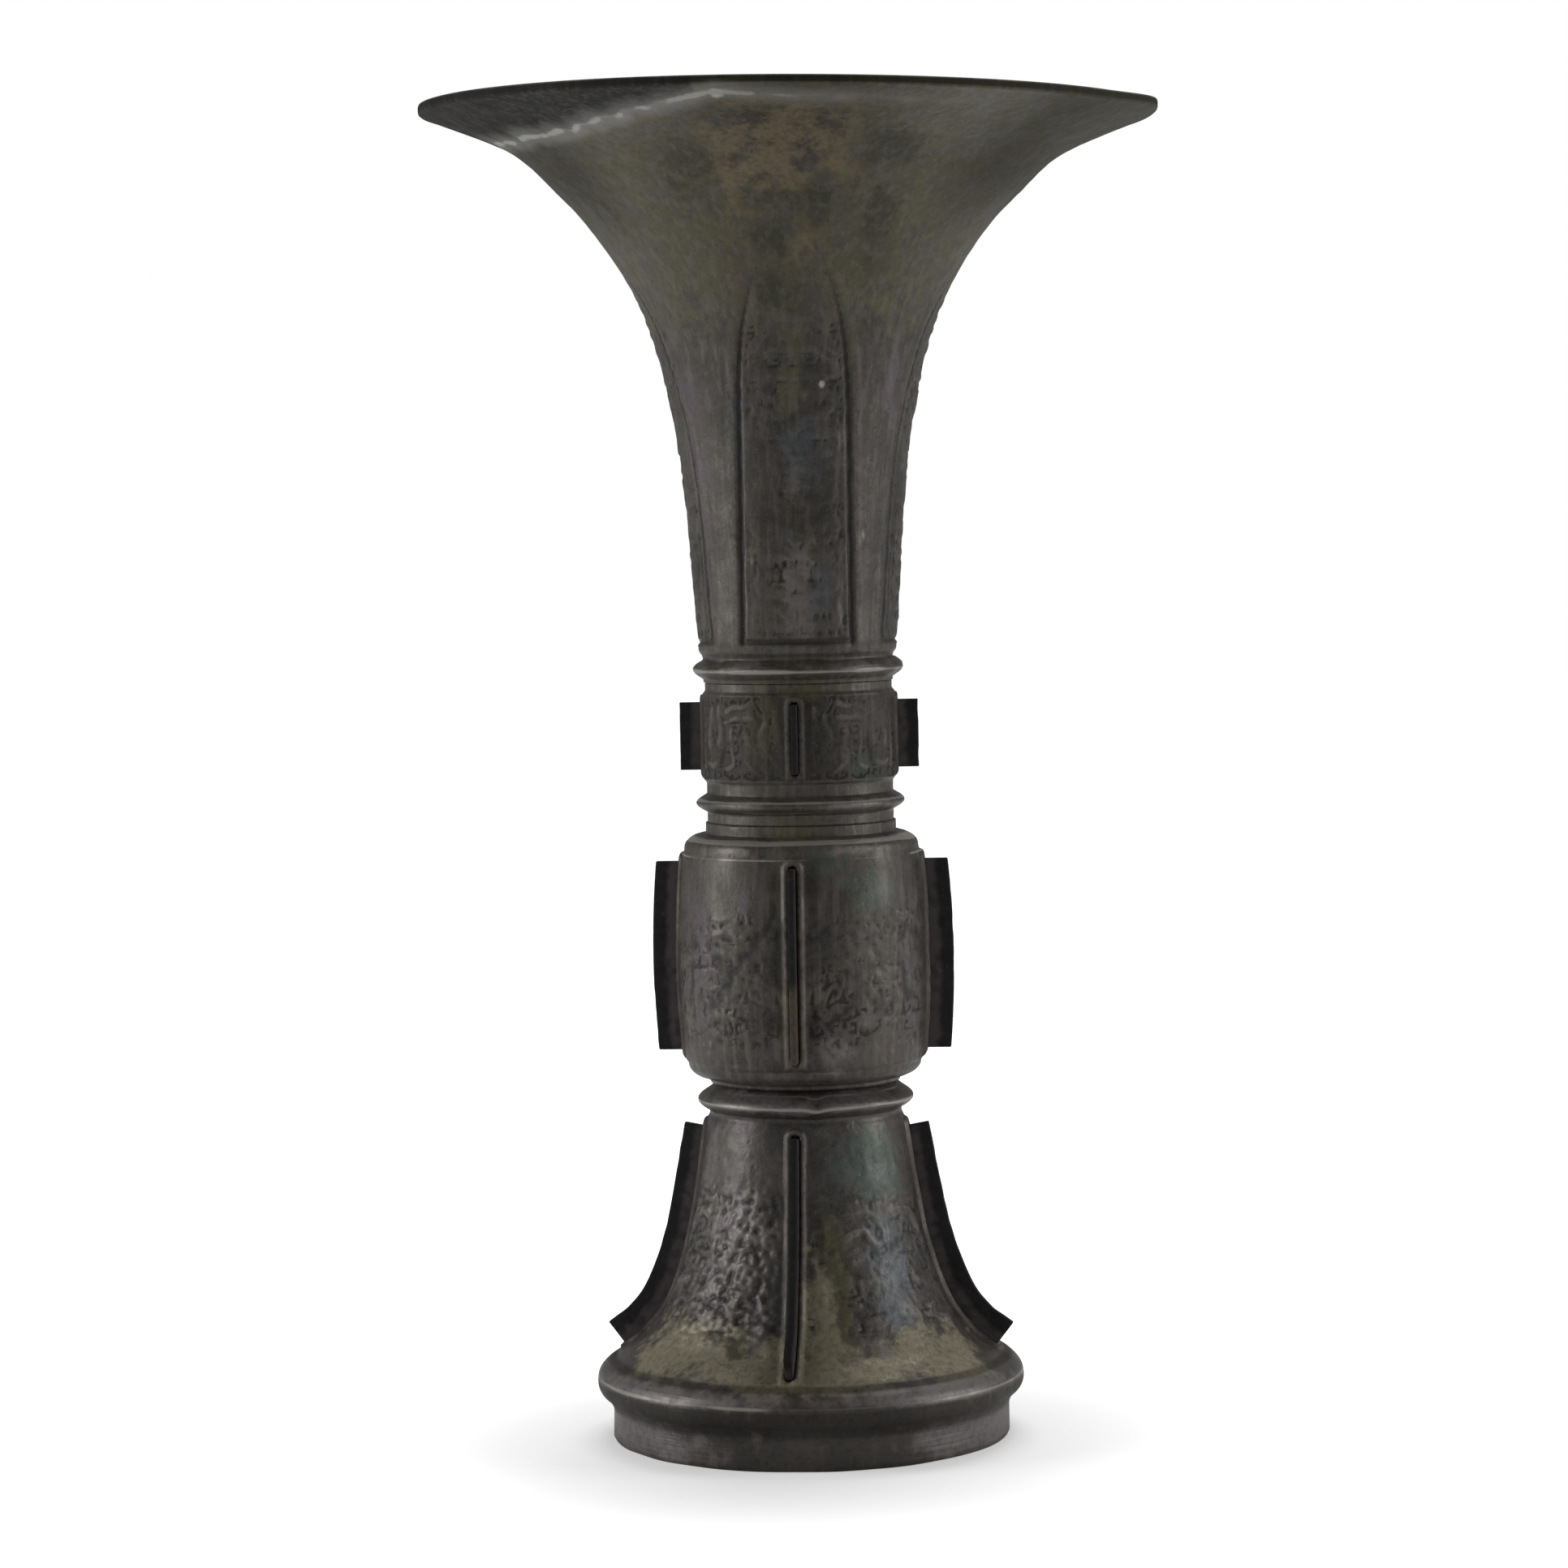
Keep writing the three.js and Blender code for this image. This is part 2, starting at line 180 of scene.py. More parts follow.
# Flanges and their sockets
SLOT_DEPTH = 1.2
SOCKET_OFFSET = 1.4
SOCKET_HALF_WIDTH = 0.8
SOCKET_RISE = 0.75
SOCKET_ARCH = 1.2
# Painted shade: how dark the slot round each flange is painted
SLOT_PAINTED_SHADE = 1.2
BAND_SOCKET_OFFSET = 1.15
FLANGE_COLUMNS = 14
FLANGE_ROWS = 90
FLANGE_BEVEL = 0.22
KNOP_DUST_TOP = 98
SIDES = ["front", "right", "back", "left"]


# Lines in radius and height

def pairs(radius, height):
    """Points from their radii and heights."""
    return np.stack(np.broadcast_arrays(radius, height), axis=1)


def catmull(points, steps=16):
    """A smooth line through the points."""
    points = np.asarray(points, float)
    padded = np.vstack([2 * points[0] - points[1], points, 2 * points[-1] - points[-2]])
    share = np.linspace(0, 1, steps, endpoint=False)[:, None]
    parts = [
        0.5 * (
            2 * b + (c - a) * share + (2 * a - 5 * b + 4 * c - d) * share ** 2
            + (3 * b - a - 3 * c + d) * share ** 3
        )
        for a, b, c, d in zip(padded, padded[1:], padded[2:], padded[3:])
    ]
    return np.vstack([*parts, points[-1:]])


def lengths(points):
    """Distance along the line at each of its points."""
    steps = np.linalg.norm(np.diff(points, axis=0), axis=1)
    return np.concatenate([[0], np.cumsum(steps)])


def even(points, spacing):
    """The same line with points at an even spacing, and both its ends."""
    points = np.asarray(points, float)
    along = lengths(points)
    places = np.linspace(0, along[-1], max(int(round(along[-1] / spacing)), 1) + 1)
    return np.stack([np.interp(places, along, points[:, axis]) for axis in range(2)], axis=1)


def square_off(points, distance, last=None):
    """The line moved square to itself, by a distance that may change evenly to its last point."""
    along = np.gradient(points, axis=0)
    along /= np.linalg.norm(along, axis=1)[:, None]
    off = np.linspace(distance, distance if last is None else last, len(points))
    return points + off[:, None] * pairs(along[:, 1], -along[:, 0])


def gap_to_line(line, across, up):
    """Distance of each place from a line of straight runs."""
    nearest = np.full(np.shape(across), FAR_OFF)
    for start, end in zip(line, line[1:]):
        run = end - start
        share = ((across - start[0]) * run[0] + (up - start[1]) * run[1]) / max(run @ run, 1e-9)
        share = np.clip(share, 0, 1)
        gap = np.hypot(across - start[0] - share * run[0], up - start[1] - share * run[1])
        nearest = np.minimum(nearest, gap)
    return nearest


def bead(stem, crest, middle, height):
    """A ring that runs out softly into the stem above and below it."""
    place = np.linspace(-1, 1, 41)
    rise = (1 - place ** 2) ** BEAD_SHARPNESS
    return pairs(stem + (crest - stem) * rise, middle + place * height / 2)


def quarter(stem, wide, start, end):
    """A rounded shoulder from the stem to the wider radius."""
    angle = np.linspace(0, math.pi / 2, 15)
    return pairs(stem + (wide - stem) * np.sin(angle), start + (end - start) * (1 - np.cos(angle)))


def soft_step(first, last, start, end):
    """An eased step from one radius to another."""
    share = np.linspace(0, 1, 9)
    return pairs(first + (last - first) * share ** 2 * (3 - 2 * share), start + (end - start) * share)


def rounded(points, radius):
    """A line of straight runs with its inner corners rounded off."""
    points = np.asarray(points, float)
    share = np.linspace(0, 1, 5)[:, None]
    result = [points[:1]]
    for before, corner, after in zip(points, points[1:], points[2:]):
        start = corner + (before - corner) / np.linalg.norm(before - corner) * radius
        end = corner + (after - corner) / np.linalg.norm(after - corner) * radius
        result.append((1 - share) ** 2 * start + 2 * share * (1 - share) * corner + share ** 2 * end)
    return np.vstack([*result, points[-1:]])


def swept(sweep, low, high, still, spread):
    """A smooth outline through a sweep's shares of its height and of its spread."""
    points = [(still + spread * share, low + (high - low) * rise) for rise, share in sweep]
    return even(catmull(points), CURVE_STEP)


foot_bead_middle = KNOP_BASE - FOOT_BEAD_RISE
foot_curve_top = foot_bead_middle - FOOT_CURVE_GAP
foot_curve = swept(FOOT_SWEEP, MOULDING_TOP, foot_curve_top, FOOT_STEM, FOOT_RADIUS - FOOT_STEM)
neck_height = TOP - NECK_BASE
flare = swept(FLARE_SWEEP, NECK_WAIST_RISE, neck_height - LIP_HEIGHT, NECK_WAIST, FLARE_RADIUS - NECK_WAIST)
knop_height = BAND_BASE - KNOP_BASE
knop_belly_top = knop_height - KNOP_TOP_LIP - KNOP_SHOULDER_RISE
band_height = NECK_BASE - BAND_BASE

# Flange plates, measured up the casting's face, which is up the curve on the foot
FOOT_FLANGE = {"start": 1.15, "end": lengths(foot_curve)[-1] - 3.4, "thickness": 1.7}
FOOT_FLANGE_REACH = (6.2, 4.8)
KNOP_FLANGE = {"start": 6.5, "end": 46.5, "thickness": 1.3}
KNOP_FLANGE_REACH = 5.6
BAND_FLANGE = {"start": 11, "end": 25.25, "thickness": 1.2}
BAND_FLANGE_REACH = 4.8


def knop_radius(height):
    place = (2 * height - KNOP_STEP_LOW - KNOP_STEP_HIGH) / (KNOP_STEP_HIGH - KNOP_STEP_LOW)
    return KNOP_END + (KNOP_BELLY - KNOP_END) * (1 - place ** 2)


def spigot(top):
    end = top + SPIGOT_HEIGHT
    return [(SPIGOT_RADIUS, top), (SPIGOT_RADIUS, end), (THROAT_RADIUS, end)]


# Outlines of the castings: runs of points, each with its row spacing

def foot_outline():
    ring = rounded([(RING_BORE, RING_HEIGHT), (RING_BORE, 0), (RING_RADIUS, 0), MOULDING[0]], RING_EDGE)
    beads = bead(FOOT_STEM, FOOT_BEAD_CREST, foot_bead_middle, FOOT_BEAD_HEIGHT)
    inside = square_off(foot_curve, -FOOT_WALL)[::-1]
    return [
        (ring, ROW_PLAIN),
        (catmull([*MOULDING, foot_curve[0]], 8), ROW_FINE),
        (foot_curve, ROW_FINE),
        (beads, ROW_FINE),
        ([beads[-1], (FOOT_STEM, KNOP_BASE), *spigot(KNOP_BASE)], ROW_HIDDEN),
        ([spigot(KNOP_BASE)[-1], (THROAT_RADIUS, foot_bead_middle), *inside, ring[0]], ROW_HIDDEN),
    ]


def knop_outline():
    lower = quarter(KNOP_STEM, KNOP_SHOULDER, KNOP_BASE_LIP, KNOP_BASE_LIP + KNOP_SHOULDER_RISE)
    upper = quarter(KNOP_STEM, KNOP_SHOULDER, knop_height - KNOP_TOP_LIP, knop_belly_top)[::-1]
    heights = np.linspace(KNOP_STEP_LOW, KNOP_STEP_HIGH, 60)
    inside = [
        spigot(knop_height)[-1], (THROAT_RADIUS, knop_belly_top), (KNOP_BORE, knop_belly_top - KNOP_SLOPE),
        (KNOP_BORE, KNOP_FLOOR_TOP + KNOP_SLOPE), (STEM_BORE, KNOP_FLOOR_TOP), (STEM_BORE, 0), (KNOP_STEM, 0),
    ]
    return [
        ([(KNOP_STEM, 0), lower[0]], ROW_FINE),
        (lower, ROW_FINE),
        (soft_step(KNOP_SHOULDER, KNOP_END, lower[-1][1], KNOP_STEP_LOW), ROW_FINE / 2),
        (pairs(knop_radius(heights), heights), ROW_FINE),
        (soft_step(KNOP_END, KNOP_SHOULDER, KNOP_STEP_HIGH, upper[0][1]), ROW_FINE / 2),
        (upper, ROW_FINE),
        ([upper[-1], (KNOP_STEM, knop_height)], ROW_FINE),
        ([(KNOP_STEM, knop_height), *spigot(knop_height)], ROW_HIDDEN),
        (inside, ROW_HIDDEN),
    ]


def band_outline():
    beads = bead(BAND_STEM, BAND_BEAD_CREST, BAND_BEAD_RISE, BAND_BEAD_HEIGHT)
    lower_edge = soft_step(BAND_STEM, BAND_RADIUS, BAND_START - BAND_EDGE, BAND_START)
    upper_edge = soft_step(BAND_RADIUS, BAND_STEM, BAND_END, BAND_END + BAND_EDGE)
    inside = [
        spigot(band_height)[-1], (THROAT_RADIUS, SPIGOT_HEIGHT + CLEARANCE),
        (STEM_BORE, SPIGOT_HEIGHT + CLEARANCE), (STEM_BORE, 0), (BAND_STEM, 0),
    ]
    return [
        ([(BAND_STEM, 0), beads[0]], ROW_FINE),
        (beads, ROW_FINE / 2),
        ([beads[-1], lower_edge[0]], ROW_FINE),
        (lower_edge, ROW_FINE / 2),
        ([lower_edge[-1], upper_edge[0]], ROW_FINE / 2),
        (upper_edge, ROW_FINE / 2),
        ([upper_edge[-1], (BAND_STEM, band_height)], ROW_FINE),
        ([(BAND_STEM, band_height), *spigot(band_height)], ROW_HIDDEN),
        (inside, ROW_HIDDEN),
    ]


def neck_outline():
    beads = bead(NECK_STEM, NECK_BEAD_CREST, NECK_BEAD_RISE, NECK_BEAD_HEIGHT)
    inside = square_off(flare, -NECK_WALL)[::-1]
    inside = inside[inside[:, 1] < neck_height - LIP_HEIGHT / 2]
    lip = rounded([
        flare[-1], (LIP_RADIUS, neck_height - LIP_HEIGHT + LIP_ROUND), (LIP_RADIUS, neck_height),
        (LIP_RADIUS - LIP_WIDTH, neck_height), inside[0],
    ], LIP_ROUND)
    bore = [
        inside[-1], (THROAT_RADIUS, SPIGOT_HEIGHT + 3), (STEM_BORE, SPIGOT_HEIGHT + CLEARANCE),
        (STEM_BORE, 0), (NECK_STEM, 0),
    ]
    return [
        ([(NECK_STEM, 0), beads[0]], ROW_FINE),
        (beads, ROW_FINE),
        ([beads[-1], flare[0]], ROW_FINE),
        (flare, ROW_FINE * 1.6),
        (lip, ROW_FINE),
        (inside, ROW_HIDDEN),
        (bore, ROW_HIDDEN),
    ]


def joined_rows(runs):
    """One closed line from the runs, without its doubled points."""
    rows = np.vstack([even(points, spacing)[:-1] for points, spacing in runs])
    apart = np.linalg.norm(rows - np.roll(rows, 1, axis=0), axis=1) > SAME_POINT
    return rows[apart]


# Meshes by the operators

def start_fresh():
    if bpy.context.object and bpy.context.object.mode != "OBJECT":
        bpy.ops.object.mode_set(mode="OBJECT")
    bpy.ops.object.select_all(action="DESELECT")


def get_places(piece):
    places = np.zeros(len(piece.data.vertices) * 3)
    piece.data.vertices.foreach_get("co", places)
    return places.reshape(-1, 3) / MM


def set_places(piece, places):
    piece.data.vertices.foreach_set("co", (places * MM).ravel())
    piece.data.update()


def store(piece, name, values):
    attribute = piece.data.attributes.new(name, "FLOAT", "POINT")
    attribute.data.foreach_set("value", np.asarray(values, np.float32))


def hand_in(piece, material, node):
    piece.data.materials.append(material)
    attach(piece, BODY)
    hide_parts(node)


def turned_shell(name, rows, columns, base):
    """Spins an outline round the axis, and returns the piece with each vertex's row and azimuth."""
    start_fresh()
    bpy.ops.mesh.primitive_circle_add(vertices=len(rows), radius=RING_RADIUS * MM)
    shell = bpy.context.object
    shell.name = shell.data.name = name
    for vertex, (radius, height) in zip(shell.data.vertices, rows):
        vertex.co = (0, -radius * MM, (base + height) * MM)
    bpy.ops.object.mode_set(mode="EDIT")
    bpy.ops.mesh.select_all(action="SELECT")
    bpy.ops.mesh.spin(steps=columns, angle=2 * math.pi, center=(0, 0, 0), axis=(0, 0, 1))
    bpy.ops.mesh.select_all(action="SELECT")
    bpy.ops.mesh.remove_doubles(threshold=SAME_POINT * MM)
    bpy.ops.mesh.normals_make_consistent(inside=False)
    bpy.ops.object.mode_set(mode="OBJECT")
    bpy.ops.object.shade_smooth()
    places = get_places(shell)
    radius = np.hypot(places[:, 0], places[:, 1])
    height = places[:, 2] - base
    row = np.empty(len(places), int)
    for start in range(0, len(places), 4000):
        part = slice(start, start + 4000)
        gaps = (radius[part, None] - rows[None, :, 0]) ** 2 + (height[part, None] - rows[None, :, 1]) ** 2
        row[part] = gaps.argmin(axis=1)
    step = 360 / columns
    azimuth = np.degrees(np.arctan2(places[:, 0], -places[:, 1]))
    return shell, row, np.round(azimuth / step) * step


# Surface noise: a sum of waves in many directions, about one unit high

def ripple(places, wavelength, seed, waves=26):
    draw = np.random.default_rng(seed)
    total = np.zeros(len(places))
    for _ in range(waves):
        heading = draw.normal(size=3)
        heading *= 2 * math.pi / wavelength / np.linalg.norm(heading) * draw.uniform(0.6, 1.5)
        total += np.cos(places @ heading + draw.uniform(0, 2 * math.pi))
    return total * math.sqrt(2 / waves)


def blend_in(low, high, values):
    """0 below low, 1 above high, smooth between. It turns round where low is above high."""
    share = np.clip((values - low) / (high - low), 0, 1)
    return share * share * (3 - 2 * share)


def spot(values, middle, spread):
    """1 at the middle, fading away to both sides."""
    return np.exp(-((values - middle) / spread) ** 2)


# Relief drawn flat and then wrapped on a casting

class Drawing:
    """Heights over a flat sheet, in millimetres across and up."""

    def __init__(self, width, height):
        across = np.arange(0, width + DRAWING_CELL, DRAWING_CELL)
        up = np.arange(0, height + DRAWING_CELL, DRAWING_CELL)
        self.across, self.up = np.meshgrid(across, up)
        self.raised = np.zeros_like(self.across)
        self.cut = np.zeros_like(self.across)
        self.clear = np.full_like(self.across, FAR_OFF)

    def around(self, points, margin):
        """The part of the sheet round a smooth line, and how far each place there is from it."""
        line = even(catmull(points), STROKE_STEP)
        low = np.floor((line.min(axis=0) - margin) / DRAWING_CELL).astype(int).clip(0)
        high = np.ceil((line.max(axis=0) + margin) / DRAWING_CELL).astype(int)
        part = (slice(low[1], high[1]), slice(low[0], high[0]))
        return part, gap_to_line(line, self.across[part], self.up[part])

    def strokes(self, width, rise, groove, *lines):
        """Raised strokes with softened edges, and a fine line cut along the middle of each."""
        for points in lines:
            part, gap = self.around(points, width + 3)
            body = rise * blend_in(width / 2 + 0.3, width / 2 - 0.3, gap)
            self.raised[part] = np.maximum(self.raised[part], body)
            self.cut[part] = np.maximum(self.cut[part], groove * blend_in(0.5, 0.12, gap))
            self.clear[part] = np.minimum(self.clear[part], gap - width / 2)

    def channel(self, width, depth, soft, points):
        """A shallow trough with plain ground beside it."""
        part, gap = self.around(points, width + 2)
        trough = depth * blend_in(width / 2 + soft, width / 2 - soft, gap)
        self.cut[part] = np.maximum(self.cut[part], trough)
        self.clear[part] = np.minimum(self.clear[part], gap - width / 2)

    def boss(self, place, wide, tall, rise):
        """A rounded eye with a slit pupil and a plain ring round it."""
        x = (self.across - place[0]) / wide
        y = (self.up - place[1]) / tall
        spread = np.hypot(x, y)
        pupil = 0.8 * blend_in(0.5, 0.25, np.hypot(x * 1.2, y * 2.4))
        self.raised = np.maximum(self.raised, rise * np.sqrt(np.clip(1 - spread ** 2, 0, 1)))
        self.cut = np.maximum(self.cut, pupil)
        self.clear = np.minimum(self.clear, (spread - 1) * min(wide, tall) - 0.4)

    def dots(self, start, end, pitch, size=0.8, rise=1.0):
        """A row of small raised dots."""
        count = max(int(math.dist(start, end) / pitch), 1)
        for middle in np.linspace(start, end, count + 1):
            gap = np.hypot(self.across - middle[0], self.up - middle[1])
            self.raised = np.maximum(self.raised, rise * blend_in(size + 0.25, size - 0.35, gap))
            self.clear = np.minimum(self.clear, gap - size)

    def scrolls(self, cell, pitch, depth, where=1.0):
        """Square spirals cut in the ground between the strokes, turning both ways, and worn in spots."""
        x = self.across / cell
        y = self.up / cell
        hand = np.where((np.floor(x) + np.floor(y)) % 2 == 0, 1.0, -1.0)
        x = (x - np.floor(x) - 0.5) * cell * hand
        y = (y - np.floor(y) - 0.5) * cell
        square = np.maximum(np.abs(x), np.abs(y))
        turn = np.arctan2(y, x) / (2 * math.pi)
        line = blend_in(0.05, 0.75, np.cos(2 * math.pi * (square / pitch - turn))) * depth
        places = np.stack([self.across.ravel(), self.up.ravel(), np.zeros(self.across.size)], axis=1)
        worn = 0.2 + 0.8 * blend_in(-0.9, 0.6, ripple(places, 5, 61)).reshape(line.shape)
        self.cut = np.maximum(self.cut, line * blend_in(0.1, 0.45, self.clear) * worn * where)

    def read(self, across, up):
        """Heights at places on the sheet, which is warped a little."""
        heights = self.raised - self.cut
        places = np.stack([across, up, across * 0], axis=1)
        x = (across + SHEET_WARP * ripple(places, 7, 62)) / DRAWING_CELL
        y = (up + SHEET_WARP * ripple(places, 7, 63)) / DRAWING_CELL
        x = np.clip(x, 0, heights.shape[1] - 1.001)
        y = np.clip(y, 0, heights.shape[0] - 1.001)
        column = x.astype(int)
        row = y.astype(int)
        right = x - column
        lower = heights[row, column] * (1 - right) + heights[row, column + 1] * right
        upper = heights[row + 1, column] * (1 - right) + heights[row + 1, column + 1] * right
        return lower + (upper - lower) * (y - row)


def knop_drawing():
    """Half a mask on the knop, from the front flange to the side flange, over a ground of fine scrolls."""
    sheet = Drawing(41.2, 41.6)
    sheet.strokes(1.2, 0.55, 0, [(11.4, 27.4), (14.4, 28), (18.6, 27.2)])
    sheet.strokes(1.0, 0.6, 0, [(12.4, 30.6), (15, 31), (19.4, 30.4)])
    sheet.strokes(1.2, 0.8, 0.55, [(4.2, 25.6), (4.1, 19.4), (4.5, 13.6), (6.6, 10.6)])
    sheet.strokes(
        1.3, 0.8, 0.55,
        [(24.2, 30.8), (29.4, 30.6), (34, 27.8), (35, 23.2), (31.8, 20.6), (28.8, 22.4)],
        [(20.2, 19.4), (24.4, 16), (24.6, 11.2), (21.4, 9)],
        [(29, 16.6), (33.4, 15), (35.2, 11), (32.6, 8.2), (29.2, 9.6)],
    )
    sheet.boss((15.4, 23.6), 1.6, 1.1, 0.5)
    sheet.channel(2.2, 0.8, 1.5, [(3.8, 33.4), (5.6, 29.2), (9.4, 23.6), (14, 17.8), (20.4, 11.4)])
    sheet.channel(1.8, 0.7, 1.4, [(20.4, 24.6), (15.6, 19.8), (12.4, 13.2), (7, 9.8)])
    sheet.channel(1.4, 0.9, 0.8, [(27.6, 29.6), (25.4, 24.4), (26.2, 18.6), (28, 13)])
    sheet.dots((20.6, 4.2), (35, 4), 2.3, 0.7)
    upright = blend_in(33.5, 29, sheet.up) * blend_in(3.5, 8, sheet.up)
    sheet.scrolls(3.3, 1.5, 1.25, upright * blend_in(2.2, 3.4, sheet.across))
    return sheet


def band_drawing():
    """Half a mask on the band: short bars over upright curls."""
    sheet = Drawing(32, 17.3)
    sheet.strokes(1.1, 0.9, 0, [(8.8, 15.2), (12, 15.4), (15.8, 15)], [(9.4, 12.7), (12.4, 13), (16.6, 12.4)])
    sheet.strokes(
        1.2, 0.9, 0,
        [(10.6, 9.6), (9.6, 7), (9.9, 4.2), (8.2, 2.2)], [(14.6, 10), (14.9, 6.6), (14.2, 3.8), (16, 2.2)],
    )
    sheet.strokes(1.2, 0.7, 0, [(18.6, 15), (18, 10.6), (18.8, 6.8)])
    sheet.strokes(
        1.1, 0.7, 0,
        [(3.4, 15.2), (3.9, 11), (3.3, 6.4), (4, 2.2)], [(6.3, 14.4), (6.8, 10.4), (6.1, 6)],
        [(21.4, 14.6), (22.4, 10.6), (21.6, 7)], [(19, 3.8), (21.4, 2.6), (24, 3.4)],
        [(26, 14.6), (25.4, 10), (26.2, 5.6), (25.6, 2.2)],
    )
    sheet.channel(1.0, 0.7, 0.6, [(7.9, 13.6), (8.1, 3)])
    sheet.channel(1.0, 0.7, 0.6, [(17.2, 13.4), (17.4, 4)])
    sheet.scrolls(2.9, 1.45, 1.0, blend_in(2.2, 3.2, sheet.across))
    return sheet


def foot_drawing():
    """Half a mask on the foot, tall and worn, as share of the quarter and distance up the curve."""
    sheet = Drawing(FOOT_SHEET_WIDTH, 58)
    sheet.strokes(
        1.7, 1.0, 0.55,
        [(6.4, 34.4), (10, 36.6), (14.6, 36.8), (18.6, 34.4), (19.2, 31)],
        [(11.8, 22.6), (16.4, 21.6), (20.6, 18.4), (22, 13.6), (19.4, 10.6), (16.2, 12), (16.6, 14.6)],
    )
    sheet.strokes(
        1.6, 1.0, 0.55,
        [(21.6, 37.2), (25.6, 36.6), (29, 33.4), (31, 28.4)],
        [(25, 22.4), (29.6, 20.8), (31.4, 16), (29, 12.4), (26, 14), (26.8, 16.6)],
    )
    sheet.strokes(1.5, 1.2, 0, [(8.6, 31.6), (13, 32.8), (17, 30.4)])
    sheet.strokes(1.4, 1.0, 0.55, [(3.8, 30), (3.7, 23), (4.2, 16.4), (6, 13), (8.4, 14.2), (8, 17)])
    sheet.boss((11.6, 28.4), 2.3, 2, 1.3)
    sheet.channel(2.0, 0.7, 0.8, [(3.2, 38), (5.6, 33.2), (8.6, 27.6), (13, 22.4), (18.6, 14.6)])
    sheet.channel(1.8, 0.7, 0.8, [(21.8, 30.6), (18.4, 26.2), (13.6, 19.6), (8.4, 13.8)])
    sheet.dots((6.6, 10.4), (15.4, 9.8), 2.3)
    sheet.dots((19.2, 7.8), (31.6, 7.8), 2.5)
    sheet.dots((8, 39.6), (20, 39.8), 2.4, 0.7, 0.8)
    sheet.scrolls(3.9, 1.6, 1.1, blend_in(44, 38, sheet.up) * blend_in(9, 14, sheet.up))
    return sheet


def blade_drawing():
    """Half a blade's field, as distance from its middle and height above its base."""
    sheet = Drawing(10.4, 95)
    for up in (3, 21, 39):
        sheet.strokes(
            1.4, 0.9, 0.55,
            [(1.2, up), (2.8, up + 2.8), (7.4, up + 3.2), (8, up + 0.4), (4.4, up - 0.2)],
            [(1.2, up + 11.4), (1.3, up + 7.4), (4.4, up + 6.2), (7.8, up + 8.2), (7, up + 11),
             (4.2, up + 10.4)],
        )
        sheet.strokes(1.1, 0.6, 0, [(0, up + 14.4), (5, up + 14.2), (9.4, up + 14.4)])
    sheet.boss((5.2, 17.6), 1.6, 1.1, 0.9)
    for up in range(57, 84, 3):
        sheet.strokes(1.2, 0.8, 0, [(0, up + 2.6), (3.4, up + 2.2), (6.4, up + 0.6), (8.6, up - 2)])
    sheet.scrolls(2.9, 1.45, 1.2)
    return sheet


# Surfaces: how each casting's skin departs from its turned shape

def quarter_place(azimuth):
    """Degrees from the nearest of the four sides' middles."""
    return (azimuth + 45) % 90 - 45


def mirrored(azimuth):
    """Degrees from the nearer of the front and the back, up to 90."""
    folded = np.abs((azimuth + 180) % 360 - 180)
    return np.minimum(folded, 180 - folded)


def wear(places, seed):
    """How much of the relief is left, from 0 to 1, in large worn areas and small nicks."""
    broad = blend_in(-1.3, 1.2, ripple(places, 22, seed))
    small = blend_in(-1.9, -0.3, ripple(places, 3.4, seed + 1))
    return (0.35 + 0.65 * broad) * (0.5 + 0.5 * small)


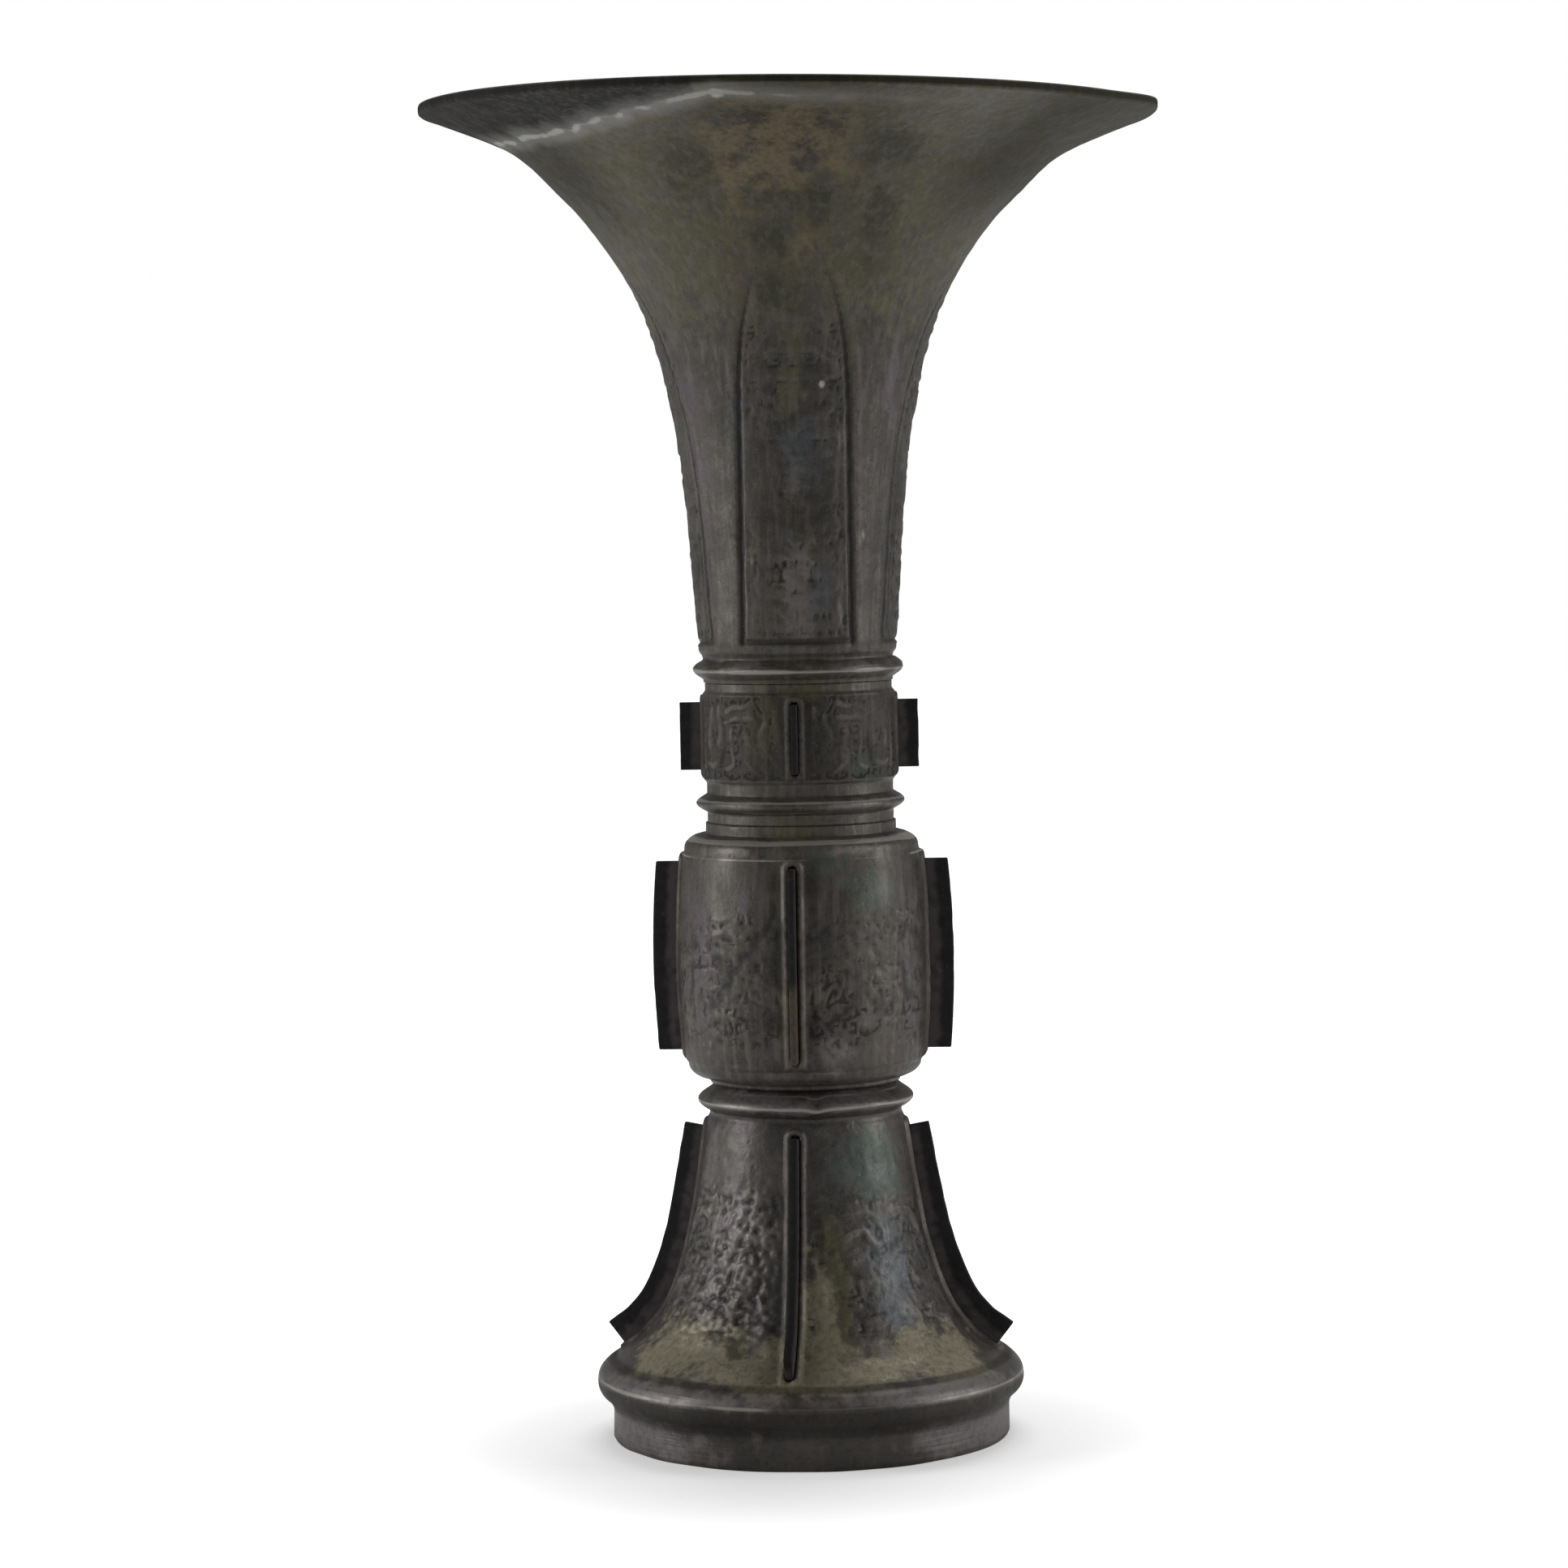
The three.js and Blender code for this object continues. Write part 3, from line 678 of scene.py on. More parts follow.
class Skin:
    """The outer face of a casting: where each vertex is, and what its surface holds."""

    def __init__(self, name, runs, base, turn):
        rows = joined_rows(runs)
        columns = min(int(MOST_FACES / len(rows)) // 4 * 4, FINEST_COLUMNS)
        self.piece, row, self.azimuth = turned_shell(name, rows, columns, base)
        self.base = base
        self.turned = self.azimuth - turn
        self.radius = rows[row, 0]
        self.height = rows[row, 1]
        ahead = np.roll(rows, -1, axis=0) - np.roll(rows, 1, axis=0)
        ahead /= np.linalg.norm(ahead, axis=1)[:, None]
        self.out = pairs(ahead[row, 1], -ahead[row, 0])
        self.rise = np.zeros(len(row))
        self.relief = np.zeros(len(row))
        self.tints = {name: np.zeros(len(row)) for name in TINTS}
        self.places = self.at(self.radius, self.height)

    def at(self, radius, height):
        angle = np.radians(self.azimuth)
        return np.stack([radius * np.sin(angle), -radius * np.cos(angle), self.base + height], axis=1)

    def lateral(self):
        """How far each place is to the side of its nearest flange."""
        return self.radius * np.sin(np.radians(quarter_place(self.turned)))

    def tint(self, name, values):
        self.tints[name] = np.maximum(self.tints[name], values)

    def sockets(self, along, flange, offset=SOCKET_OFFSET):
        """Ridges on both sides of each flange joined by an arch on top, the slot, and all that is near."""
        low = flange["start"]
        high = flange["end"] - SOCKET_OFFSET + SOCKET_ARCH
        half = flange["thickness"] / 2
        lateral = self.lateral()
        gap = np.abs(np.hypot(lateral, np.maximum(along - high, 0)) - offset)
        ridge = SOCKET_RISE * np.sqrt(np.clip(1 - (gap / SOCKET_HALF_WIDTH) ** 2, 0, 1))
        ridge *= blend_in(low - 2.2, low - 0.6, along)
        slot = blend_in(half + 0.12, half - 0.25, np.abs(lateral))
        slot *= (along > low - CLEARANCE) & (along < high + CLEARANCE + 0.2)
        near = blend_in(SOCKET_HALF_WIDTH + 1.6, SOCKET_HALF_WIDTH, gap)
        near *= blend_in(low - 3, low - 1, along) * (along < high + 5)
        return ridge, slot, near

    def fit_sockets(self, where, ridge, slot, height=1.0, rubbed=0.8):
        """Raises the ridges and cuts the slots. The slots are painted dark as painted shade, and the ridges
        painted lighter, partly as wear and partly as painted highlight, less so on the sides.
        """
        ridge = ridge * where
        slot = slot * where
        rubbed = rubbed * (0.35 + 0.65 * blend_in(60, 35, mirrored(self.turned)))
        self.rise += ridge * height - slot * (SLOT_DEPTH + CLEARANCE + ridge * height)
        self.relief += ridge * rubbed - slot * SLOT_PAINTED_SHADE

    def painted_shade_by_flange(self):
        """Painted shade in the corners beside the sockets."""
        return 0.6 * spot(np.abs(self.lateral()), 4, 3.2) * blend_in(-1.4, 0.8, ripple(self.places, 11, 16))

    def painted_highlight_lines(self, levels):
        """Painted highlights: thin light lines at levels above the floor, each with its strength."""
        around = 0.86 + 0.14 * blend_in(-0.9, 0.7, ripple(self.places, 24, 17))
        for level, strength in levels:
            near = np.clip(1 - np.abs(self.base + self.height - level) / HIGHLIGHT_LINE_REACH, 0, 1)
            self.tint("line", strength * near * around * (self.out[:, 0] > -0.3))

    def add_patches(self):
        height = self.base + self.height
        for tint, patches in PATCHES.items():
            for middle, level, around, up, strength in patches:
                turn = (self.azimuth - middle + 180) % 360 - 180
                self.tint(tint, strength * np.exp(-(turn / around) ** 2 - ((height - level) / up) ** 2))

    def roughen_inside(self, inside):
        self.rise += inside * 0.1 * ripple(self.places, 9, 31) * (self.height > 1)

    def finish(self, material, slot_name, node):
        """Moves the vertices, with the rim's sag, and keeps them above the floor."""
        sag = RIM_SAG * (1 + np.sin(np.radians(self.azimuth)))
        sag -= RIM_LIFT * blend_in(30, 0, np.abs(self.azimuth - 90))
        height = self.height + self.rise * self.out[:, 1]
        height -= sag * blend_in(RIM_SAG_START, TOP, self.base + self.height)
        radius = self.radius + self.rise * self.out[:, 0]
        set_places(self.piece, self.at(radius, np.maximum(height, -self.base)))
        store(self.piece, "relief", self.relief)
        for name, values in self.tints.items():
            store(self.piece, name, np.clip(values, 0, 1))
        hand_in(self.piece, material, node)


# Patches of patina, among them painted highlights: azimuth and height of the middle, half spread round and up,
# strength

# Tints stored on each casting. The shade tint holds painted shade, the line tint painted highlight lines, and
# the frost tint both frosty patina and painted highlights.
TINTS = [
    "olive", "moss", "green", "rust", "red", "mauve", "blue", "tan", "frost_and_highlight", "repair", "pale", "shade",
    "smooth", "crack", "line",
]
PATCHES = {
    "rust": [
        (-1, 266, 22, 9, 0.75), (3, 270, 17, 7, 0.8), (-5, 262, 9, 6, 0.6), (15, 264, 8, 6, 0.6),
        (2, 256, 14, 4, 0.45), (8, 248, 9, 6, 0.4), (172, 250, 14, 10, 0.7), (-120, 96, 10, 9, 0.4),
    ],
    "red": [
        (-14, 246, 5, 13, 0.9), (-17, 228, 4, 12, 0.8), (-8, 258, 5, 5, 0.6), (10, 218, 4, 5, 0.5),
        (4, 262, 12, 9, 0.7), (-14, 266, 6, 5, 0.7), (165, 236, 6, 14, 0.7), (80, 250, 8, 10, 0.5),
    ],
    "olive": [
        (32, 270, 14, 6, 0.9), (40, 256, 16, 9, 0.8), (-18, 268, 10, 5, 0.8), (0, 236, 9, 9, 0.6),
        (-20, 148, 14, 6, 0.8), (6, 158, 30, 3, 0.8), (2, 129, 22, 4, 0.8), (5, 26, 9, 9, 1.0),
        (-30, 258, 20, 12, 0.6), (-2, 92, 7, 13, 0.6), (5, 170, 14, 3, 0.6), (-4, 22, 26, 4, 0.6),
        (-38, 262, 14, 10, 0.8), (3, 222, 8, 16, 0.7), (28, 236, 12, 14, 0.6), (3, 196, 10, 5, 0.4),
        (15, 36, 9, 15, 1.2), (-22, 24, 12, 5, 0.7), (34, 24, 12, 5, 0.6), (-16, 152, 12, 10, 0.9),
        (0, 177, 14, 8, 0.7), (0, 87, 10, 10, 0.6), (120, 264, 24, 10, 0.7), (-140, 256, 26, 14, 0.6),
        (110, 150, 20, 6, 0.6), (-150, 30, 22, 9, 0.7), (200, 100, 12, 14, 0.5), (90, 24, 20, 5, 0.6),
    ],
    "green": [
        (44, 142, 20, 4, 0.9), (38, 117, 18, 5, 0.8), (40, 60, 32, 9, 0.95), (38, 32, 5, 8, 0.7),
        (-8, 168, 8, 8, 0.5), (14, 122.5, 8, 3, 0.9), (-25, 211, 4, 12, 0.5), (160, 60, 22, 7, 0.7),
        (-100, 120, 16, 7, 0.6), (-70, 210, 14, 20, 0.4), (130, 218, 14, 18, 0.4),
    ],
    "moss": [
        (-24, 262, 9, 7, 0.5), (-2, 250, 8, 5, 0.8), (20, 258, 7, 9, 0.5), (9, 238, 10, 6, 0.6),
        (34, 246, 8, 9, 0.5), (4, 190, 9, 5, 0.9), (0, 168, 6, 8, 0.6), (-6, 225, 6, 9, 0.6),
        (10, 44, 3, 8, 0.8), (26, 268, 9, 5, 0.9), (-18, 266, 7, 5, 0.9), (12, 258, 5, 6, 0.9),
        (30, 254, 7, 9, 0.8), (-4, 240, 9, 5, 0.8), (150, 262, 16, 8, 0.7), (-110, 250, 14, 14, 0.6),
        (70, 240, 12, 12, 0.5), (-60, 256, 10, 8, 0.5),
    ],
    "mauve": [
        (54, 222, 5, 9, 0.9), (58, 214, 4, 6, 0.7), (-52, 205, 14, 34, 0.6), (-55, 236, 14, 16, 0.6),
        (190, 222, 12, 18, 0.4), (-52, 102, 16, 22, 0.7), (62, 98, 14, 24, 0.5), (-34, 66, 12, 8, 0.6),
        (-24, 114, 6, 4, 0.7), (130, 110, 16, 20, 0.5),
    ],
    # Frosty pale patina in broad patches. The patches on the ring's sides and the thin bands at the moulding's
    # crest, the bead crests and the knop's shoulders are painted highlights.
    "frost_and_highlight": [
        (-34, 46, 20, 13, 0.8), (-40, 34, 16, 9, 0.7), (-60, 58, 12, 12, 0.6), (28, 50, 12, 5, 0.4),
        (34, 151, 12, 5, 0.5), (140, 45, 22, 12, 0.6), (30, 125.2, 14, 1.2, 0.8), (-30, 125.2, 14, 1.2, 0.8),
        (18, 79.5, 12, 1.2, 0.7), (-40, 176, 9, 12, 0.3), (46, 184, 8, 14, 0.3), (20, 84, 13, 3, 0.9),
        (34, 90, 8, 4, 0.5), (-34, 24, 6, 4, 0.5), (-16, 26, 4, 8, 0.8), (30, 23, 6, 3, 0.6),
        (-30, 73, 36, 2.4, 1.0), (34, 73, 36, 2.4, 1.0), (2, 71.6, 26, 2.2, 0.8), (4, 204, 14, 30, 0.35),
        (4, 178, 14, 14, 0.8), (-30, 134, 24, 1.6, 0.6), (36, 134, 20, 1.6, 0.9), (-28, 163.4, 16, 1.4, 0.8),
        (34, 163.4, 16, 1.4, 0.9), (-56, 4, 34, 6, 0.9), (60, 4, 30, 6, 0.9), (-40, 14.6, 44, 2, 1.0),
        (40, 14.6, 44, 2, 1.0), (-2, 120, 20, 4, 0.3), (14, 82, 18, 3, 0.6),
    ],
    "pale": [
        (42.9, 190, 3.2, 2.2, 0.5), (17.3, 220.7, 1.7, 0.9, 1.0), (-6.5, 277, 1.2, 0.8, 1.2),
    ],
    "blue": [
        (46, 40, 15, 10, 1.0), (42, 30, 10, 8, 0.9), (8, 208, 16, 9, 0.75), (17, 178, 9, 8, 0.8),
        (-22, 214, 5, 14, 0.6), (-130, 44, 14, 8, 0.5),
    ],
    "tan": [
        (-48, 22, 24, 7, 1.0), (50, 21, 24, 6, 1.0), (0, 19, 40, 4, 1.0), (130, 20, 30, 5, 0.9),
        (9, 29, 7, 12, 1.3), (24, 19.5, 14, 3, 1.0), (-130, 20, 30, 5, 0.9), (-14, 21, 9, 6, 0.9),
        (30, 20, 9, 4, 0.8), (-24, 187, 12, 5, 0.4), (6, 187, 10, 4, 0.6),
    ],
}
CRACK = [
    (-88, 272), (-76, 271.9), (-66, 271.3), (-58, 271.7), (-50, 271.5), (-44, 272.2), (-40.7, 271.9),
    (-38, 272.7), (-34, 272.9), (-30.5, 273.8), (-27, 273.7), (-24.5, 274.6), (-20.3, 275), (-15, 276.1),
    (-10.4, 276.6), (-6.5, 277.3), (-1, 276.7), (8, 276.4), (22, 276.4), (40, 276),
]
# How far up and down a painted highlight line reaches
HIGHLIGHT_LINE_REACH = 2
FLARE_OLIVE = 0.6
# Strengths of painted shade: on the flare's sides towards the rim, over the whole neck, under the moulding's
# crest, on the ring, and in the crease where the foot meets the moulding
FLARE_SHADE = 0.72
NECK_SHADE = 0.14
MOULDING_LOW_SHADE = 0.6
RING_SHADE = 0.05
MOULDING_HIGH_SHADE = 0.75
# Painted highlight lines: height above the floor and strength. The first foot line marks the moulding's crest.
FOOT_HIGHLIGHT_LINES = [(13.4, 1.06), (71.6, 1.08), (74.2, 1.0)]
KNOP_HIGHLIGHT_LINES = [(126.8, 1.3), (123.4, 0.97)]
BAND_HIGHLIGHT_LINES = [(134.9, 1.12), (132.8, 0.98)]
NECK_HIGHLIGHT_LINES = [(162, 1.16), (168.4, 0.98), (166, 0.95)]
CRACK_FADE = -9
CRACK_REACH = 4


# Castings

def make_foot(material):
    skin = Skin("foot_casting", foot_outline(), 0, FOOT_TURN)
    order = np.argsort(foot_curve[:, 1])
    along = np.interp(skin.height, foot_curve[order, 1], lengths(foot_curve)[order])
    outside = (skin.out[:, 0] > -0.2) & (skin.radius > THROAT_RADIUS + FOOT_WALL)
    on_curve = (skin.out[:, 0] > 0) & (skin.height > MOULDING_TOP) & (skin.height < foot_curve_top)
    ridge, slot, near = skin.sockets(along, FOOT_FLANGE)
    face = on_curve * (1 - near)
    zone = blend_in(7, 15, along) * blend_in(46, 39, along) * face
    rough_side = spot((skin.azimuth + 126) % 180, 90, 30)
    clean_strip = 0.9 * spot(skin.azimuth, 15, 8)
    drawn = foot_drawing().read(mirrored(skin.turned) / 90 * FOOT_SHEET_WIDTH, along) * face
    drawn *= (1 - 0.5 * rough_side) * (1 - clean_strip) * wear(skin.places, 11)
    flat_places = skin.places * [1, 1, 1.2]
    grain = ripple(flat_places, 2.6, 12, 60) * 0.12 + ripple(flat_places, 5.2, 13) * 0.08
    grain = np.clip(grain * 1.5, -0.36, 0.32) * zone * (0.18 + 0.82 * rough_side)
    skin.relief = drawn + grain * 2.1
    skin.rise = FOOT_RELIEF * drawn + grain + 0.05 * ripple(skin.places, 16, 14)
    skin.rise += 0.03 * ripple(flat_places, 3.4, 15) * face * (1 - zone)
    skin.fit_sockets(on_curve, ridge, slot)
    # Painted shade under the moulding's crest, a little on the ring, and in the crease where the foot meets the
    # moulding
    ring = blend_in(MOULDING_TOP + 0.3, MOULDING_TOP - 0.3, skin.height)
    crest = FOOT_HIGHLIGHT_LINES[0][0]
    low_shade = MOULDING_LOW_SHADE * blend_in(crest - 0.2, crest - 1, skin.height)
    low_shade *= RING_SHADE + (1 - RING_SHADE) * blend_in(6, 7.6, skin.height)
    high_shade = MOULDING_HIGH_SHADE * blend_in(0.9, 0.3, np.abs(skin.height - MOULDING_TOP + 0.9))
    skin.tint("smooth", ring)
    skin.tint("shade", ring * np.maximum(low_shade, high_shade))
    # Painted shade beside the flanges, left out in a strip just right of the front
    skin.tint("shade", skin.painted_shade_by_flange() * (1 - 0.9 * spot(skin.azimuth, 10, 9)) * on_curve)
    skin.painted_highlight_lines(FOOT_HIGHLIGHT_LINES)
    kink_bowstring(skin)
    skin.rise *= outside
    skin.roughen_inside(~outside)
    skin.add_patches()
    skin.finish(material, "foot_bronze", "foot")


def kink_bowstring(skin):
    """The bowstring above the foot dips in a small kink, just right of the front."""
    off = spot(skin.azimuth, 10, 4.6) * blend_in(foot_curve_top, foot_curve_top + 1, skin.height)
    skin.rise -= 0.22 * off
    skin.height = skin.height - 0.5 * off * (skin.out[:, 0] > 0) * (skin.height < KNOP_BASE - 0.6)


def make_knop(material):
    skin = Skin("knop_casting", knop_outline(), KNOP_BASE, KNOP_TURN)
    outside = (skin.out[:, 0] > -0.2) & (skin.radius > KNOP_STEM - 0.5)
    outside &= (skin.height > 0.2) & (skin.height < knop_height - 0.2)
    face = (skin.radius > KNOP_SHOULDER + 0.2) & outside
    ridge, slot, near = skin.sockets(skin.height, KNOP_FLANGE)
    across = np.radians(mirrored(skin.turned)) * KNOP_BELLY
    drawn = knop_drawing().read(across, skin.height - KNOP_STEP_LOW) * face * (1 - near)
    drawn *= (0.3 + 0.7 * blend_in(82, 62, mirrored(skin.turned))) * wear(skin.places, 21)
    grain = ripple(skin.places, 2.8, 22) * 0.035 * face
    grain *= blend_in(KNOP_RELIEF_TOP + 3, KNOP_RELIEF_TOP - 3, skin.base + skin.height)
    skin.relief = drawn + grain * 3
    skin.rise = KNOP_RELIEF * drawn + grain + 0.05 * ripple(skin.places, 18, 23)
    skin.rise += (outside & ~face) * 0.025 * ripple(skin.places, 4.5, 24)
    skin.fit_sockets(outside, ridge, slot)
    # Painted shade beside the flanges
    skin.tint("shade", skin.painted_shade_by_flange() * face)
    skin.painted_highlight_lines(KNOP_HIGHLIGHT_LINES)
    skin.rise *= outside
    skin.roughen_inside(skin.out[:, 0] < -0.5)
    skin.add_patches()
    skin.finish(material, "body_bronze", "knop")


def make_band(material):
    skin = Skin("band_casting", band_outline(), BAND_BASE, BAND_TURN)
    outside = (skin.out[:, 0] > -0.2) & (skin.radius > BAND_STEM - 0.3)
    outside &= (skin.height > 0.2) & (skin.height < band_height - 0.2)
    face = outside & (skin.height > BAND_START - 0.1) & (skin.height < BAND_END + 0.1)
    ridge, slot, near = skin.sockets(skin.height, BAND_FLANGE, BAND_SOCKET_OFFSET)
    across = np.radians(mirrored(skin.turned)) * BAND_RADIUS
    drawn = band_drawing().read(across, skin.height - BAND_START) * face * (1 - near)
    skin.relief = drawn * wear(skin.places, 41)
    skin.rise = BAND_RELIEF * skin.relief
    skin.rise += 0.02 * ripple(skin.places, 4, 42) + 0.04 * ripple(skin.places, 14, 43)
    skin.fit_sockets(face, ridge, slot, 0.7, 0.6)
    # Painted shade beside the flanges and over the band's face
    skin.tint("shade", np.maximum(skin.painted_shade_by_flange(), BAND_SHADE) * face)
    skin.painted_highlight_lines(BAND_HIGHLIGHT_LINES)
    skin.rise *= outside
    skin.add_patches()
    skin.finish(material, "body_bronze", "neck_band")


def blade_relief(skin, outside):
    """Ridge, groove and drawn field of the four rising blades."""
    edge = np.vstack([[0, BLADE_BASE], even(catmull(BLADE_EDGE), 0.8)])
    tip = BLADE_EDGE[-1][1]
    sideways = skin.lateral()
    picked = outside & (skin.height > BLADE_BASE - 4) & (skin.height < tip + 5) & (np.abs(sideways) < 15.5)
    sideways = sideways[picked]
    across = np.abs(sideways)
    up = skin.height[picked]
    turned = skin.turned[picked]
    gap = gap_to_line(edge, across, up)
    half = np.interp(up, edge[1:, 1], edge[1:, 0])
    signed = np.where((across < half) & (up > BLADE_BASE) & (up < tip), -gap, gap)
    beside = BLADE_SIDE_LONGER * (mirrored(turned) > 45)
    left_of_edge = 1 - 0.9 * blend_in(BLADE_FADE_START, BLADE_FADE_END, up - beside)
    groove = blend_in(0.65, 0.2, gap) * left_of_edge
    ridge = np.sqrt(np.clip(1 - ((signed - BLADE_RIDGE_OFFSET) / BLADE_RIDGE) ** 4, 0, 1)) * left_of_edge
    width = np.maximum(half - BLADE_FIELD_INSET, 0.5)
    stretch = np.clip(across / width, 0, 1) * (BLADE_EDGE[0][0] - BLADE_FIELD_INSET)
    drawn = blade_drawing().read(stretch, up - BLADE_BASE - BLADE_FIELD_INSET) * blend_in(87, 70, up)
    drawn *= blend_in(-BLADE_FIELD_INSET + 0.2, -BLADE_FIELD_INSET - 0.6, signed)
    rubbed = blend_in(BLADE_WORN_FROM - 1, BLADE_WORN_FROM, sideways) * blend_in(72, 60, up)
    rubbed *= blend_in(BLADE_WORN_TO + 0.5, BLADE_WORN_TO - 0.5, sideways) * (np.abs(turned) < 45)
    drawn *= wear(skin.places[picked], 53) * (1 - 0.5 * rubbed)
    skin.rise[picked] += 0.16 * ridge - BLADE_GROOVE * groove + BLADE_RELIEF * drawn
    skin.relief[picked] += 0.35 * ridge - 1.2 * groove + 0.7 * drawn
    # Painted shade in the blade's field, strongest below 60 mm up the neck and fading out by 95
    skin.tints["shade"][picked] = BLADE_SHADE * blend_in(0.3, -0.7, signed) * blend_in(95, 60, up)


def mend_mouth(skin, height, outside):
    """The crack below the lip, pale with filling, and the smooth dark repair above it."""
    line = even(catmull(CRACK, 8), 1.0)
    gap = height - np.interp(skin.azimuth, line[:, 0], line[:, 1])
    beside = (skin.azimuth > CRACK[0][0]) & (skin.azimuth < CRACK[-1][0])
    near = np.where(beside, np.abs(gap), FAR_OFF)
    fade = blend_in(CRACK[-1][0] + 6, CRACK_FADE, skin.azimuth)
    uneven = 0.86 + 0.14 * blend_in(-1, 0.6, ripple(skin.places, 9, 54))
    repair = blend_in(-0.3, 0.8, gap) * (skin.azimuth < CRACK_FADE) * outside
    repair *= blend_in(-135, -100, skin.azimuth)
    skin.rise = skin.rise * (1 - 0.8 * repair) - 0.12 * blend_in(0.9, 0.1, near) * fade
    skin.tint("repair", repair)
    skin.tint("crack", np.clip(1 - near / CRACK_REACH, 0, 1) * outside * (0.5 + 0.5 * fade) * uneven)


def make_neck(material):
    skin = Skin("neck_casting", neck_outline(), NECK_BASE, NECK_TURN)
    height = skin.base + skin.height
    outside = (skin.out[:, 1] < 0.5) & (skin.out[:, 0] > 0) & (skin.height > 0.2)
    blade_relief(skin, outside)
    skin.rise += 0.05 * ripple(skin.places, 20, 51) + 0.02 * ripple(skin.places, 4, 52)
    skin.add_patches()
    skin.painted_highlight_lines(NECK_HIGHLIGHT_LINES)
    for level, _ in NECK_HIGHLIGHT_LINES[1:]:
        skin.rise += 0.18 * blend_in(0.9, 0.2, np.abs(height - level))
    # Painted shade: the flare's sides darker towards the rim, a little over the whole neck, and full along the
    # top edge of the lip
    beside = blend_in(30, 58, np.abs(skin.azimuth)) * blend_in(240, 266, height)
    skin.tint("olive", FLARE_OLIVE * blend_in(218, 240, height))
    skin.tint("shade", np.maximum(FLARE_SHADE * beside, NECK_SHADE) * outside)
    skin.tint("shade", outside * blend_in(TOP - 1.9, TOP - 1.3, height))
    skin.tint("smooth", outside * blend_in(TOP - 2.2, TOP - 1.6, height))
    skin.tints["pale"] *= outside
    mend_mouth(skin, height, outside)
    skin.rise *= outside * (1 - 0.8 * blend_in(TOP - 6, TOP - 2, height))
    skin.roughen_inside(~outside & (skin.height < neck_height - LIP_HEIGHT) & (skin.radius > STEM_BORE + 0.1))
    skin.finish(material, "body_bronze", "trumpet_neck")


# Flanges

def flange_plate(name, inner, outer, thickness):
    """A thin plate in the front plane between two lines in radius and height."""
    start_fresh()
    bpy.ops.mesh.primitive_grid_add(x_subdivisions=FLANGE_COLUMNS, y_subdivisions=FLANGE_ROWS, size=2)
    plate = bpy.context.object
    plate.name = plate.data.name = name
    inner = even(inner, lengths(inner)[-1] / (FLANGE_ROWS * 2))
    outer = even(outer, lengths(outer)[-1] / (FLANGE_ROWS * 2))
    for vertex in plate.data.vertices:
        out = (vertex.co.x + 1) / 2
        up = (vertex.co.y + 1) / 2 * (len(inner) - 1)
        at = min(int(up), len(inner) - 2)
        low = inner[at] + (inner[at + 1] - inner[at]) * (up - at)
        high = outer[at] + (outer[at + 1] - outer[at]) * (up - at)
        radius, height = low + (high - low) * out
        vertex.co = (0, -radius * MM, height * MM)
    solidify = plate.modifiers.new("thickness", "SOLIDIFY")
    solidify.thickness = thickness * MM
    solidify.offset = 0
    bpy.ops.object.modifier_apply(modifier=solidify.name)
    bpy.ops.object.mode_set(mode="EDIT")
    bpy.ops.mesh.select_all(action="SELECT")
    bpy.ops.mesh.normals_make_consistent(inside=False)
    bpy.ops.object.mode_set(mode="OBJECT")
    bevel = plate.modifiers.new("edges", "BEVEL")
    bevel.width = FLANGE_BEVEL * MM
    bevel.segments = 2
    bevel.limit_method = "ANGLE"
    bevel.angle_limit = math.radians(50)
    bpy.ops.object.modifier_apply(modifier=bevel.name)
    return plate


def nearest_gap(line, places):
    """Distance of each place in the front plane from the nearest point of a line."""
    line = even(line, 0.3)
    return np.hypot(-places[:, 1:2] - line[None, :, 0], places[:, 2:] - line[None, :, 1]).min(axis=1)


def row_of_flanges(row, inner, outer, thickness, turn, material, seed):
    """Four plates, each with its own small dents."""
    first = flange_plate(f"{row}_flange_plate", inner, outer, thickness)
    to_inner = nearest_gap(inner, get_places(first))
    to_outer = nearest_gap(outer, get_places(first))
    for index, side in enumerate(SIDES):
        plate = first.copy()
        plate.data = first.data.copy()
        plate.name = plate.data.name = f"{row}_flange_{side}_plate"
        bpy.context.scene.collection.objects.link(plate)
        angle = math.radians(90 * index + turn)
        plate.data.transform(Matrix.Rotation(angle, 4, "Z"))
        places = get_places(plate)
        dents = 0.04 * ripple(places, 5, seed + index) + 0.05 * ripple(places, 14, seed + index + 9)
        outward = np.array([math.sin(angle), -math.cos(angle), 0])
        places = places + outward * np.minimum(dents, 0)[:, None]
        set_places(plate, places)
        store(plate, "relief", 0.3 * ripple(places, 3, seed + 40 + index))
        store(plate, "outer", to_inner / (to_inner + to_outer))
        dusty = row == "knop" and side == "front"
        store(plate, "dust", dusty * blend_in(KNOP_DUST_TOP + 1, KNOP_DUST_TOP - 2, places[:, 2]))
        start_fresh()
        plate.select_set(True)
        bpy.context.view_layer.objects.active = plate
        bpy.ops.object.shade_smooth_by_angle(angle=math.radians(35))
        hand_in(plate, material, f"{row}_flange_{side}")
    bpy.data.objects.remove(first)


